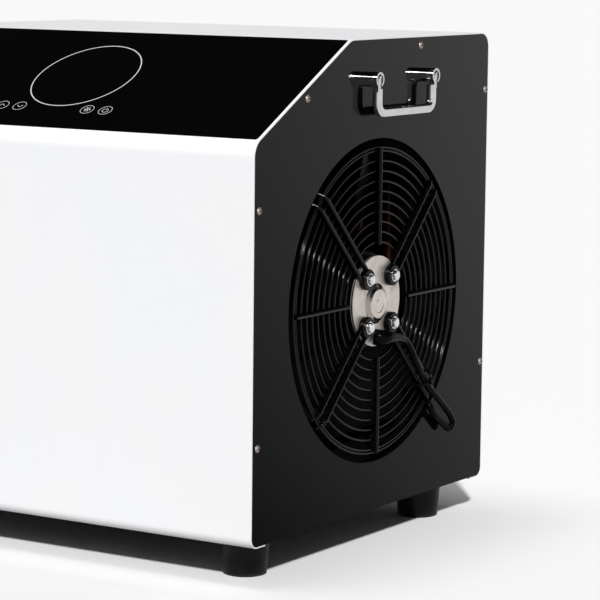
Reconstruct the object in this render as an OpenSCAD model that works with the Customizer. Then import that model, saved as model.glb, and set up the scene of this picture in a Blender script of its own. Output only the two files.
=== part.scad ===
// Ice bath chiller: a sheet steel case with a sloped control glass, an axial fan
// behind a wire guard on the right end, a louvred air intake on the left end,
// hanging chrome handles, rubber feet and a complete refrigeration circuit inside.
// Lengths are millimetres. X runs across the case towards the fan, Y runs from the
// front to the rear and Z runs up from the floor.

/* [Case] */
// Width over both end panels
case_w = 540; // [500:1:600]
// Depth of the end panels
panel_d = 452; // [430:1:500]
// Height of the end panels
panel_h = 479; // [460:1:520]
// Height of the front face up to the slope
front_h = 385; // [370:1:400]
// Depth taken by the sloped face
slope_run = 172; // [150:1:190]
// Thickness of the painted sheet
sheet_t = 1.2; // [1:0.1:1.5]
// Thickness of the black end panels
panel_t = 1.2; // [1:0.1:1.5]
// Bend radius between front and slope
front_bend_r = 19; // [12:1:24]
// Bend radius between slope and top
top_bend_r = 25; // [15:1:30]
// Bend radius at the rear of the top
rear_bend_r = 14; // [10:1:18]
// Bend radius along the bottom edges
low_bend_r = 9; // [6:1:12]
// Width of the folded flanges behind the end panels
flange_w = 16; // [14:1:20]
// Depth of the flange that curls under the pan
return_w = 24; // [18:1:28]
// Height of the cover's flange down the rear
seam_drop = 48; // [40:1:60]
// Visible joint between neighbouring sheets
seam_gap = 0.6; // [0.3:0.1:1]

/* [Base pan and feet] */
// Thickness of the base pan
pan_t = 1.5; // [1.2:0.1:2]
// Height of the pan's folded edges
pan_up_h = 26; // [20:1:32]
// Height of a foot
foot_h = 40; // [30:1:50]
// Diameter of a foot at the pan
foot_top_d = 49; // [44:1:54]
// Diameter of a foot at the floor
foot_low_d = 43; // [38:1:44]
// Distance from a foot's centre to the end of the case
foot_in_x = 45; // [42:1:60]
// Distance from a foot's centre to the front or rear
foot_in_y = 57; // [45:1:70]
// Diameter of the foot bolts
foot_bolt_d = 8; // [6:1:8]

/* [Control panel] */
// Thickness of the control glass
glass_t = 3; // [2.5:0.1:4]
// White strip left beside the glass
glass_side = 3.2; // [2.5:0.1:6]
// White strip left below the glass
glass_low = 9.8; // [8:0.1:14]
// White strip left above the glass
glass_high = 1.2; // [1:0.1:3]
// Corner radius of the glass
glass_r = 2.5; // [1:0.5:5]
// Width of the hidden rim that carries the glass
glass_seat = 10; // [8:1:14]
// Width of the display carrier
carrier_w = 300; // [270:1:340]
// Depth of the display carrier along the slope
carrier_l = 146; // [140:1:150]
// Thickness of the display carrier
carrier_t = 9; // [8:0.5:11]
// Diameter of the round display window
display_d = 116.4; // [100:0.1:120]

/* [Fan opening and duct] */
// Height of the fan's axis above the panel's lower edge
fan_z = 215; // [205:1:225]
// Radius of the opening in the end panel
opening_r = 165; // [163:0.5:168]
// Depth of the lip drawn inwards round the opening
lip_depth = 5; // [4:0.5:7]
// Length of the duct behind the panel
duct_len = 62; // [56:1:66]
// Thickness of the duct
duct_t = 1.5; // [1.2:0.1:2]
// Width of the duct's flange
duct_flange_w = 13; // [10:1:16]

/* [Fan guard] */
// Radius of the smallest ring
ring_first_r = 60; // [58:0.5:62]
// Distance between neighbouring rings
ring_pitch = 10.25; // [10:0.05:10.4]
// Number of evenly spaced rings
ring_count = 10; // [9:1:10]
// Radius of the outermost ring
rim_r = 155.5; // [155.5:0.1:156]
// Diameter of the ring wire
ring_d = 2.6; // [2.2:0.1:2.8]
// Diameter of the spoke and arm wire
spoke_d = 4.5; // [4:0.1:4.8]
// Distance between the two wires of an arm
arm_gap = 14; // [13.6:0.2:15]
// Radius at which the arms bend into the duct
arm_knee_r = 152; // [150:0.5:153]
// Diameter of the eyelet under each motor bolt
eyelet_d = 20; // [18:0.5:22]

/* [Fan motor and blades] */
// Diameter of the motor's front plate
plate_d = 92; // [88:1:96]
// Thickness of the motor's front plate
plate_t = 8; // [7:0.5:10]
// Distance between neighbouring motor bolts
bolt_square = 48.5; // [46:0.5:50]
// Diameter of the motor bolts
motor_bolt_d = 6; // [5:1:6]
// Outer diameter of the rotor can
can_d = 94; // [92:1:98]
// Length of the rotor can
can_len = 60; // [56:1:62]
// Wall of the rotor can
can_wall = 3; // [2:0.5:4]
// Diameter of the motor shaft
shaft_d = 12; // [10:1:12]
// Outer diameter of the motor bearings
bearing_d = 28; // [26:1:30]
// Width of a motor bearing
bearing_w = 8; // [7:1:9]
// Radial clearance of the shaft in its bearings
shaft_play = 0.05; // [0.02:0.01:0.1]
// Number of fan blades
blade_count = 5; // [4:1:6]
// Radius over the blade tips
blade_tip_r = 150; // [140:0.5:151]
// Thickness of a blade
blade_t = 1.8; // [1.5:0.1:2.5]
// Angle that a blade's chord makes with the fan's plane
blade_pitch = 31; // [26:1:34]
// Radius of a blade's camber
blade_camber_r = 150; // [130:1:180]

/* [Handles] */
// Distance between the two posts of a handle
post_pitch = 112; // [104:1:120]
// Distance from the panel's front edge to the handle's centre
handle_y = 257; // [250:1:264]
// Distance from the posts to the panel's top edge
handle_drop = 39; // [33:1:47]
// Diameter of a post
post_d = 15; // [14:0.5:17]
// Length of a post
post_len = 16; // [15.5:0.5:18]
// Distance from the panel to the handle's pin
pin_x = 11.5; // [11.5:0.1:12]
// Diameter of the handle's pin
pin_d = 3; // [2.5:0.1:3.2]
// Radial clearance of the pin in its holes
pin_play = 0.05; // [0.02:0.01:0.1]
// Width of the tang between the post's cheeks
tang_w = 5; // [4:0.5:5.5]
// Thickness of the bail outwards from the panel
bail_t = 8.4; // [7:0.1:9]
// Width of the bail in its own plane
bail_w = 9.6; // [8:0.1:10]
// Distance from the pin to the bail's lower edge
bail_drop = 38; // [34:1:42]
// Inner radius of the bail's corners
bail_in_r = 4.4; // [3:0.1:8]

/* [Fasteners] */
// Diameter of the case screws
screw_d = 4; // [3.5:0.1:4.2]
// Diameter of the case screws' heads
screw_head_d = 7.6; // [7:0.1:8]
// Height of the case screws' heads
screw_head_h = 2.4; // [2:0.1:3]
// Length of the case screws below the head
screw_len = 9; // [7:0.5:12]
// Distance from a front or top case screw to the panel's edge
screw_in = 8.5; // [7:0.5:9]
// Distance from a rear case screw to the panel's rear edge
rear_screw_in = 4.8; // [4.5:0.1:8]

/* [Air intake] */
// Length of one louvre
louvre_len = 86; // [80:1:92]
// Height of one louvre opening
louvre_h = 6; // [5:0.5:7]
// Number of louvres in a column
louvre_rows = 13; // [10:1:14]
// Number of louvre columns
louvre_cols = 3; // [2:1:3]
// Distance between neighbouring louvres
louvre_pitch = 22; // [20:1:24]
// How far a louvre's hood stands out
louvre_out = 6; // [5:0.5:8]

/* [Condenser] */
// Width of the fin pack from front to rear
fins_w = 330; // [300:1:340]
// Height of the fin pack
fins_h = 330; // [320:1:340]
// Thickness of the fin pack
fins_t = 40; // [38:1:44]
// Diameter of the condenser tubes
tube_d = 9.5; // [8:0.5:10]
// Number of tubes in a row
tube_rows = 10; // [8:2:10]
// Distance between the fin grooves
fin_pitch = 6; // [5:0.5:8]

/* [Compressor] */
// Diameter of the compressor's can
comp_d = 118; // [112:1:124]
// Height of the compressor's can
comp_h = 216; // [200:1:225]
// Place of the compressor as a share of the room between fin pack and duct
comp_x_share = 0.657; // [0.65:0.001:0.665]
// Distance from the panel's front edge to the compressor
comp_y = 262; // [255:1:270]
// Height of the rubber mounts under the compressor
grommet_h = 18; // [15:1:22]
// Diameter of the suction accumulator
accu_d = 50; // [46:1:52]

/* [Evaporator and water] */
// Diameter of the evaporator's barrel
barrel_d = 150; // [140:1:156]
// Height of the evaporator's barrel
barrel_h = 300; // [280:1:320]
// Place of the barrel as a share of the room between fin pack and duct
barrel_x_share = 0.244; // [0.24:0.001:0.25]
// Distance from the panel's front edge to the barrel
barrel_y = 330; // [325:1:335]
// Height of the lower water connection above the pan
water_low_z = 82; // [75:1:90]
// Height of the upper water connection above the pan
water_high_z = 232; // [220:1:240]
// Diameter of the water connections' outlets
spigot_d = 26.4; // [24:0.1:27]
// Bore of the water connections
spigot_bore_d = 19; // [16:1:20]
// How far the water connections reach behind the case
rear_reach = 40; // [36:1:44]

/* [Hidden] */

// Smoothness of round shapes
$fn = 72;
// Smoothness of wires, screws and other thin round shapes
thin_fn = 24;
// Segments in each rounded corner of a sheet outline
bend_steps = 8;
// Overrun of every cut
over = 1;
// Clearance between neighbouring still pieces
fit_gap = 0.3;
// Smallest bend radius left on an inset outline
min_bend_r = 2;

white = [0.93, 0.93, 0.93];
gloss_black = [0.13, 0.13, 0.14];
matt_black = [0.07, 0.07, 0.08];
wire_black = [0.10, 0.10, 0.11];
chrome = [0.78, 0.78, 0.80];
zinc = [0.66, 0.68, 0.70];
cast_aluminium = [0.76, 0.73, 0.70];
copper = [0.72, 0.42, 0.26];
fin_aluminium = [0.82, 0.84, 0.86];
rubber = [0.05, 0.05, 0.05];
board_green = [0.08, 0.30, 0.16];
pipe_white = [0.88, 0.88, 0.86];

slope_rise = panel_h - front_h;
slope_a = atan2(slope_rise, slope_run);
slope_len = norm([slope_run, slope_rise]);
case_mid_y = (panel_d + rear_reach) / 2;
side_pts = [[0, 0], [0, front_h], [slope_run, panel_h], [panel_d, panel_h], [panel_d, 0]];
side_bends = [low_bend_r, front_bend_r, top_bend_r, rear_bend_r, low_bend_r];
seam_z = panel_h - seam_drop;
inner_x = case_w / 2 - panel_t;
handle_z = panel_h - handle_drop;
// Height of the fin pack above the pan, and its distance from the end panel
cond_leg = 22;
cond_gap = 14;
fins_x = -inner_x + cond_gap;
// Room between the fin pack and the fan's duct, which the machinery is spread over
room_x = fins_x + fins_t;
room_w = inner_x - duct_len - room_x;
comp_x = round(room_x + room_w * comp_x_share);
barrel_x = round(room_x + room_w * barrel_x_share);

// Where neighbours repeat, both sides of the case use these signs
sides = [-1, 1];

// Unit vector along v
function unit(v) = v / norm(v);

// Angle from a to b, turned the short way
function turn(a, b) = let (d = b - a) d > 180 ? d - 360 : d < -180 ? d + 360 : d;

// Outline with rounded corners, moved inwards by inset
function rounded(pts, bends, inset = 0, steps = bend_steps, least = min_bend_r) = [
  for (i = [0 : len(pts) - 1])
    let (
      p = pts[i],
      a = unit(pts[(i + len(pts) - 1) % len(pts)] - p),
      b = unit(pts[(i + 1) % len(pts)] - p),
      half = acos(a * b) / 2,
      mid = unit(a + b),
      r = max(bends[i] - inset, least),
      centre = p + mid * (inset + r) / sin(half),
      from_v = p + mid * inset / sin(half) + a * r / tan(half) - centre,
      to_v = p + mid * inset / sin(half) + b * r / tan(half) - centre,
      a0 = atan2(from_v[1], from_v[0]),
      da = turn(a0, atan2(to_v[1], to_v[0]))
    )
    for (k = [0 : steps]) centre + r * [cos(a0 + da * k / steps), sin(a0 + da * k / steps)]
];

// Rectangle from its low corner to its high corner with four equal bends
function round_box(lo, hi, r) =
  rounded([lo, [hi[0], lo[1]], hi, [lo[0], hi[1]]], [r, r, r, r], least = r);

// Regular outline with a given width across flats
function across_flats(w, sides_n) =
  [for (k = [0 : sides_n - 1]) w / 2 / cos(180 / sides_n) * [cos(360 * k / sides_n), sin(360 * k / sides_n)]];

module in_case() translate([0, -case_mid_y, foot_h]) children();
module mirrored(side) mirror([side < 0 ? 1 : 0, 0, 0]) children();
module at_fan() in_case() translate([case_w / 2, panel_d / 2, fan_z]) children();
module on_slope() in_case() translate([0, 0, front_h]) rotate([slope_a, 0, 0]) children();

// Solid with the case's side outline, from x0 to x1
module along_x(x0, x1) translate([x0, 0, 0]) rotate([90, 0, 90]) linear_extrude(x1 - x0) children();
module x_cyl(x0, x1, r) translate([x0, 0, 0]) rotate([0, 90, 0]) cylinder(h = x1 - x0, r = r);
module y_cyl(y0, y1, r) translate([0, y0, 0]) rotate([-90, 0, 0]) cylinder(h = y1 - y0, r = r);
module z_cyl(z0, z1, r) translate([0, 0, z0]) cylinder(h = z1 - z0, r = r);
module x_ring(x, ring_r, wire_r) translate([x, 0, 0]) rotate([0, 90, 0])
  rotate_extrude() translate([ring_r, 0]) circle(r = wire_r, $fn = thin_fn);
module x_tube(x0, x1, r_out, r_in) difference() {
  x_cyl(x0, x1, r_out);
  x_cyl(x0 - over, x1 + over, r_in);
}
module box(lo, hi) translate(lo) cube(hi - lo);

// Round bar or pipe along a route; its bends are a touch wider and the straights end inside them
corner_swell = 1.02;
bend_sink = 0.5;
module pipe_run(route, r, bend_r) {
  last = len(route) - 1;
  // Length that the bend at point i takes from each neighbouring straight
  function bend_len(i) = i <= 0 || i >= last ? 0 : let (
    a = unit(route[i - 1] - route[i]),
    b = unit(route[i + 1] - route[i])
  ) bend_r / tan(acos(a * b) / 2);
  for (i = [0 : last - 1]) {
    dir = unit(route[i + 1] - route[i]);
    cut = [i > 0 ? bend_len(i) - bend_sink : 0, i < last - 1 ? bend_len(i + 1) - bend_sink : 0];
    start = route[i] + dir * cut[0];
    run = norm(route[i + 1] - route[i]) - cut[0] - cut[1];
    translate(start) rotate([0, acos(dir[2]), atan2(dir[1], dir[0])]) cylinder(h = run, r = r, $fn = thin_fn);
  }
  for (i = [1 : 1 : last - 1]) {
    a = unit(route[i - 1] - route[i]);
    b = unit(route[i + 1] - route[i]);
    inner = acos(a * b);
    mid = unit(a + b);
    centre = route[i] + mid * bend_r / sin(inner / 2);
    ex = unit(route[i] + a * bend_len(i) - centre);
    ez = unit(cross(b, a));
    ey = cross(ez, ex);
    multmatrix([
      [ex[0], ey[0], ez[0], centre[0]],
      [ex[1], ey[1], ez[1], centre[1]],
      [ex[2], ey[2], ez[2], centre[2]],
      [0, 0, 0, 1]
    ]) rotate_extrude(angle = 180 - inner) translate([bend_r, 0]) circle(r = r * corner_swell, $fn = thin_fn);
  }
}

// Round wire along a route, with ball corners a touch wider than the wire
module bent_wire(route, r) {
  for (i = [0 : len(route) - 2]) {
    dir = unit(route[i + 1] - route[i]);
    translate(route[i]) rotate([0, acos(dir[2]), atan2(dir[1], dir[0])])
      cylinder(h = norm(route[i + 1] - route[i]), r = r, $fn = thin_fn);
  }
  for (i = [1 : 1 : len(route) - 2]) translate(route[i]) sphere(r = r * corner_swell, $fn = thin_fn);
}

// Places of the case screws on an end panel, as [y, z] from its lower front corner
low_screw_share = 0.2;
high_screw_share = 0.675;
slope_screw_share = 0.51;
top_screw_share = 0.485;
rear_screw_shares = [0.262, 0.876];
slope_dir = [cos(slope_a), sin(slope_a)];
slope_in = [sin(slope_a), -cos(slope_a)];
front_screws = [for (share = [low_screw_share, high_screw_share]) [screw_in, panel_h * share]];
slope_screw = [0, front_h] + slope_dir * slope_len * slope_screw_share + slope_in * screw_in;
top_screw = [slope_run + (panel_d - slope_run) * top_screw_share, panel_h - screw_in];
cover_screws = concat(front_screws, [slope_screw, top_screw]);
rear_edge_screws = [for (share = rear_screw_shares) [panel_d - rear_screw_in, panel_h * share]];
panel_screws = concat(cover_screws, rear_edge_screws);
screw_hole_r = screw_d / 2 + fit_gap;

module screw_holes(places, x0, x1)
  for (p = places) translate([0, p[0], p[1]]) x_cyl(x0, x1, screw_hole_r, $fn = thin_fn);

// Cover: one folded sheet for front, slope, top and the upper strip of the rear
module cover_section() difference() {
  polygon(rounded(side_pts, side_bends, -sheet_t));
  polygon(rounded(side_pts, side_bends));
  translate([return_w, -sheet_t - over]) square([panel_d, sheet_t + 2 * over]);
  translate([panel_d / 2, -sheet_t - over]) square([panel_d, seam_z + sheet_t + over]);
}
flange_low_z = pan_up_h + fit_gap;
// The flanges reach halfway into the sheet that they are bent from
module cover_flange_section() difference() {
  polygon(rounded(side_pts, side_bends, -sheet_t / 2));
  polygon(rounded(side_pts, side_bends, flange_w));
  translate([-over, -over]) square([panel_d + 2 * over, flange_low_z + over]);
  translate([panel_d / 2, -over]) square([panel_d, seam_z + over]);
}
glass_w = case_w - 2 * glass_side;
glass_len = slope_len - glass_low - glass_high;
seat_lo = [-glass_w / 2 + glass_seat, glass_low + glass_seat];
seat_hi = [glass_w / 2 - glass_seat, glass_low + glass_len - glass_seat];
rear_screw_share = 0.4;
rear_screw_x = case_w * rear_screw_share;
rear_screw_z = seam_z + flange_w / 2;
rear_screw_places = [-rear_screw_x, 0, rear_screw_x];
module glass_outline(grow) polygon(round_box(
  [-glass_w / 2 - grow, glass_low - grow],
  [glass_w / 2 + grow, glass_low + glass_len + grow],
  glass_r + grow
));
// The glass lies flush in a pressed recess, whose floor has a window for the display carrier
glass_back = sheet_t - glass_t;
module front_cover() color(white) difference() {
  union() {
    in_case() {
      along_x(-case_w / 2, case_w / 2) cover_section();
      for (side = sides) mirrored(side)
        along_x(inner_x - sheet_t, inner_x) cover_flange_section();
    }
    on_slope() translate([0, 0, glass_back - sheet_t]) linear_extrude(glass_t + sheet_t / 4)
      glass_outline(fit_gap + sheet_t);
  }
  on_slope() translate([0, 0, glass_back]) linear_extrude(glass_t + over) glass_outline(fit_gap);
  on_slope() translate([0, 0, glass_back - sheet_t - over]) linear_extrude(sheet_t + 2 * over)
    polygon(round_box(seat_lo, seat_hi, glass_r));
  in_case() {
    for (side = sides) mirrored(side) screw_holes(cover_screws, inner_x - sheet_t - over, inner_x + over);
    for (x = rear_screw_places) translate([x, 0, rear_screw_z])
      y_cyl(panel_d - over, panel_d + sheet_t + over, screw_hole_r, $fn = thin_fn);
  }
}

// Rear panel: flat sheet with folded sides, a lip behind the cover and a curled foot
lip_w = 14;
module rear_section() difference() {
  polygon(rounded(side_pts, side_bends, -sheet_t));
  polygon(rounded(side_pts, side_bends));
  translate([-2 * over, -2 * over]) square([panel_d - return_w + 2 * over, panel_h + 4 * over]);
  translate([panel_d / 2, seam_z - seam_gap]) square([panel_d, panel_h]);
}
module rear_flange_section() translate([panel_d - flange_w, flange_low_z])
  square([flange_w + sheet_t / 2, seam_z - seam_gap - flange_low_z]);
water_low = pan_t + water_low_z;
water_high = pan_t + water_high_z;
union_wall = 3;
union_hole_r = spigot_d / 2 + union_wall;
gland_x = 150;
gland_z = 64;
gland_thread_r = 10;
rear_vent_x = -62;
rear_vent_z = seam_z - seam_drop;
rear_vent_rows = 6;
rear_vent_pitch = 12;
rear_vent_len = 76;
rear_vent_h = 4;
module rear_panel() color(white) in_case() difference() {
  union() {
    along_x(-case_w / 2, case_w / 2) rear_section();
    for (side = sides) mirrored(side)
      along_x(inner_x - sheet_t, inner_x) rear_flange_section();
    lip_x = inner_x - sheet_t - fit_gap;
    box([-lip_x, panel_d - sheet_t, seam_z - lip_w], [lip_x, panel_d, seam_z + lip_w]);
  }
  for (side = sides) mirrored(side) screw_holes(rear_edge_screws, inner_x - sheet_t - over, inner_x + over);
  for (x = rear_screw_places) translate([x, 0, rear_screw_z])
    y_cyl(panel_d - sheet_t - over, panel_d + over, screw_hole_r, $fn = thin_fn);
  for (z = [water_low, water_high]) translate([barrel_x, 0, z])
    y_cyl(panel_d - over, panel_d + sheet_t + over, union_hole_r + fit_gap);
  translate([gland_x, 0, gland_z]) y_cyl(panel_d - over, panel_d + sheet_t + over, gland_thread_r + fit_gap);
  for (k = [0 : rear_vent_rows - 1]) translate([rear_vent_x, 0, rear_vent_z - k * rear_vent_pitch])
    rear_slot();
}
module rear_slot() {
  for (x = [0, rear_vent_len]) translate([x, 0, 0])
    y_cyl(panel_d - over, panel_d + sheet_t + over, rear_vent_h / 2, $fn = thin_fn);
  box([0, panel_d - over, -rear_vent_h / 2], [rear_vent_len, panel_d + sheet_t + over, rear_vent_h / 2]);
}

// End panels
post_places = [for (s = sides) handle_y + s * post_pitch / 2];
handle_screw_d = 5;
handle_hole_r = handle_screw_d / 2 + fit_gap;
module end_panel_sheet() difference() {
  along_x(inner_x, case_w / 2) polygon(rounded(side_pts, side_bends, fit_gap));
  screw_holes(panel_screws, inner_x - over, case_w / 2 + over);
  for (y = post_places) translate([0, y, handle_z])
    x_cyl(inner_x - over, case_w / 2 + over, handle_hole_r, $fn = thin_fn);
}
module right_panel() color(gloss_black) in_case() {
  difference() {
    end_panel_sheet();
    translate([0, panel_d / 2, fan_z]) x_cyl(inner_x - over, case_w / 2 + over, opening_r);
  }
  translate([0, panel_d / 2, fan_z])
    x_tube(case_w / 2 - lip_depth, case_w / 2, opening_r + panel_t, opening_r);
}
louvre_col_gap = 16;
louvre_col_pitch = louvre_len + louvre_col_gap;
louvre_mid_z = pan_t + cond_leg + fins_h / 2;
louvre_t = 1;
module louvre_places()
  for (col = [0 : louvre_cols - 1], row = [0 : louvre_rows - 1])
    translate([
      0,
      panel_d / 2 + (col - (louvre_cols - 1) / 2) * louvre_col_pitch,
      louvre_mid_z + (row - (louvre_rows - 1) / 2) * louvre_pitch
    ]) children();
module louvre_hood() rotate([90, 0, 0]) translate([0, 0, -louvre_len / 2]) linear_extrude(louvre_len)
  polygon([
    [0, louvre_h / 2 + louvre_out + louvre_t],
    [louvre_out, -louvre_h / 2 + louvre_t],
    [louvre_out, -louvre_h / 2],
    [louvre_out - louvre_t, -louvre_h / 2],
    [0, louvre_h / 2 + louvre_out - louvre_t]
  ]);
module left_panel() color(gloss_black) in_case() mirrored(-1) {
  difference() {
    end_panel_sheet();
    louvre_places() box([inner_x - over, -louvre_len / 2 + louvre_t, -louvre_h / 2],
      [case_w / 2 + over, louvre_len / 2 - louvre_t, louvre_h / 2 + louvre_out - 2 * louvre_t]);
  }
  louvre_places() translate([case_w / 2, 0, 0]) {
    louvre_hood();
    for (s = sides) translate([0, s * (louvre_len - louvre_t) / 2, 0]) louvre_cheek();
  }
}
module louvre_cheek() rotate([90, 0, 0]) translate([0, 0, -louvre_t / 2]) linear_extrude(louvre_t)
  polygon([
    [0, louvre_h / 2 + louvre_out],
    [louvre_out - louvre_t / 2, -louvre_h / 2],
    [0, -louvre_h / 2]
  ]);

// Base pan with folded edges and a drain hole
pan_in_y = low_bend_r + pan_t;
comp_stud_r = 76;
comp_stud_d = 8;
drain_d = 12;
foot_places = [
  for (sx = sides, y = [foot_in_y, panel_d - foot_in_y]) [sx * (case_w / 2 - foot_in_x), y]
];
comp_studs = [for (a = [90, 210, 330]) [comp_x, comp_y] + comp_stud_r * [cos(a), sin(a)]];
module base_pan() color(matt_black) in_case() difference() {
  union() {
    box([-inner_x, pan_in_y, 0], [inner_x, panel_d - pan_in_y, pan_t]);
    for (side = sides) mirrored(side)
      box([inner_x - pan_t, pan_in_y, 0], [inner_x, panel_d - pan_in_y, pan_up_h]);
    for (y = [pan_in_y, panel_d - pan_in_y - pan_t])
      box([-inner_x, y, 0], [inner_x, y + pan_t, pan_up_h]);
  }
  for (p = foot_places) translate([p[0], p[1], 0]) z_cyl(-over, pan_t + over, foot_bolt_d / 2 + fit_gap);
  for (p = comp_studs) translate([p[0], p[1], 0]) z_cyl(-over, pan_t + over, comp_stud_d / 2 + fit_gap);
  translate([barrel_x, panel_d / 4, 0]) z_cyl(-over, pan_t + over, drain_d / 2);
}

// Rubber feet, their bolts and nuts
foot_well_d = 20;
foot_floor = 14;
foot_edge = 2;
module foot(p) color(rubber) in_case() translate([p[0], p[1], -foot_h]) rotate_extrude() polygon([
  [foot_well_d / 2, 0],
  [foot_low_d / 2 - foot_edge, 0],
  [foot_low_d / 2, foot_edge],
  [foot_top_d / 2, foot_h - foot_edge],
  [foot_top_d / 2 - foot_edge, foot_h],
  [foot_bolt_d / 2 + fit_gap, foot_h],
  [foot_bolt_d / 2 + fit_gap, foot_h - foot_floor],
  [foot_well_d / 2, foot_h - foot_floor]
]);
module foot_front_left() foot(foot_places[0]);
module foot_front_right() foot(foot_places[2]);
module foot_rear_left() foot(foot_places[1]);
module foot_rear_right() foot(foot_places[3]);
bolt_head_h = 5.3;
hex_share = 1.6;
nut_h = 6.5;
module foot_bolts() color(zinc) in_case() for (p = foot_places) translate([p[0], p[1], -foot_floor]) {
  z_cyl(0, foot_floor + pan_t + nut_h + foot_edge, foot_bolt_d / 2);
  translate([0, 0, -bolt_head_h]) linear_extrude(bolt_head_h) polygon(across_flats(foot_bolt_d * hex_share, 6));
}
module foot_nuts() color(zinc) in_case() for (p = foot_places) translate([p[0], p[1], pan_t])
  linear_extrude(nut_h) difference() {
    polygon(across_flats(foot_bolt_d * hex_share, 6));
    circle(r = foot_bolt_d / 2 + shaft_play);
  }

// Control glass and the parts glued behind it
module control_glass() color(matt_black) on_slope() translate([0, 0, glass_back]) linear_extrude(glass_t)
  glass_outline(0);
carrier_up = 3.7;
// The display stands a little to the right of the glass's middle
display_x = 2.6;
carrier_r = 5;
carrier_mid = glass_low + glass_len / 2 + carrier_up;
carrier_wall = 2;
board_t = 1.6;
key_xs = [-64.5, -42.3, 42.3, 64.5];
key_down = 60.4;
key_s = carrier_mid - key_down;
key_pad_d = 12;
module carrier_outline(inset)
  translate([display_x, 0]) polygon(rounded([
    [-carrier_w / 2, carrier_mid - carrier_l / 2],
    [carrier_w / 2, carrier_mid - carrier_l / 2],
    [carrier_w / 2, carrier_mid + carrier_l / 2],
    [-carrier_w / 2, carrier_mid + carrier_l / 2]
  ], [carrier_r, carrier_r, carrier_r, carrier_r], inset, least = glass_r));
module display_carrier() color(matt_black) on_slope() translate([0, 0, glass_back - carrier_t]) difference() {
  linear_extrude(carrier_t) carrier_outline(0);
  translate([0, 0, -over]) linear_extrude(carrier_t - 2 * carrier_wall + over) carrier_outline(carrier_wall);
  translate([display_x, carrier_mid + carrier_wall, 0]) cylinder(h = carrier_t + over, d = display_d);
  for (x = key_xs) translate([display_x + x, key_s, 0])
    cylinder(h = carrier_t + over, d = key_pad_d + 2 * fit_gap);
}
module display_board() color(board_green) on_slope() {
  translate([0, 0, glass_back - 2 * carrier_wall - board_t]) linear_extrude(board_t)
    carrier_outline(carrier_wall + fit_gap);
  translate([display_x, carrier_mid + carrier_wall, glass_back - 2 * carrier_wall])
    cylinder(h = 2 * carrier_wall - fit_gap, d = display_d - 2 * carrier_wall);
  for (x = key_xs) translate([display_x + x, key_s, glass_back - 2 * carrier_wall])
    cylinder(h = 2 * carrier_wall - fit_gap, d = key_pad_d);
}

// Pan head screw along +X, its head's underside at x = 0
recess_w = 1;
recess_from_share = 0.45;
recess_reach_share = 0.28;
module pan_screw(head_d = screw_head_d, head_h = screw_head_h, body_d = screw_d, length = screw_len) {
  dome_r = (head_d * head_d / 4 + head_h * head_h) / (2 * head_h);
  difference() {
    intersection() {
      translate([head_h - dome_r, 0, 0]) rotate([0, 90, 0]) sphere(r = dome_r);
      x_cyl(0, head_h, head_d / 2);
    }
    for (a = [0, 90]) rotate([a, 0, 0])
      box([head_h * recess_from_share, -head_d * recess_reach_share, -recess_w / 2],
        [head_h + over, head_d * recess_reach_share, recess_w / 2]);
  }
  x_cyl(-length, 0, body_d / 2, $fn = thin_fn);
}
module side_screws(side) color(zinc) in_case() mirrored(side)
  for (p = panel_screws) translate([case_w / 2, p[0], p[1]]) pan_screw($fn = thin_fn);
module right_panel_screws() side_screws(1);
module left_panel_screws() side_screws(-1);
module rear_screws() color(zinc) in_case() for (x = rear_screw_places)
  translate([x, panel_d + sheet_t, rear_screw_z]) rotate([0, 0, 90]) pan_screw($fn = thin_fn);

// Handle posts: cupped ends with a slot that the bail's tang hangs out of
slot_w = tang_w + 4 * fit_gap;
tang_inset = 0.7;
tang_r = bail_t / 2 - tang_inset;
post_wall = 2;
cup_r = post_d / 2 - post_wall;
cup_back = pin_x - tang_r - 5 * fit_gap;
module handle_post() difference() {
  x_cyl(0, post_len, post_d / 2);
  x_cyl(cup_back, post_len + over, cup_r);
  box([cup_back, -slot_w / 2, -post_d], [post_len + over, slot_w / 2, 0]);
  translate([pin_x, 0, 0]) y_cyl(-post_d, post_d, pin_d / 2 + pin_play, $fn = thin_fn);
  x_cyl(-over, cup_back - fit_gap, handle_screw_d / 2 + pin_play, $fn = thin_fn);
}
module at_posts(side) in_case() mirrored(side)
  for (y = post_places) translate([case_w / 2, y, handle_z]) children();
module right_handle_posts() color(chrome) at_posts(1) handle_post();
module left_handle_posts() color(chrome) at_posts(-1) handle_post();
module handle_pin() translate([pin_x, 0, 0]) y_cyl(-post_d / 2 + fit_gap, post_d / 2 - fit_gap, pin_d / 2, $fn = thin_fn);
module right_handle_pins() color(zinc) at_posts(1) handle_pin();
module left_handle_pins() color(zinc) at_posts(-1) handle_pin();
module handle_screws() color(zinc) for (side = sides) at_posts(side) translate([-panel_t, 0, 0]) mirror([1, 0, 0])
  pan_screw(handle_screw_d * 2, handle_screw_d * 0.6, handle_screw_d, panel_t + cup_back - 2 * fit_gap, $fn = thin_fn);

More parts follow.
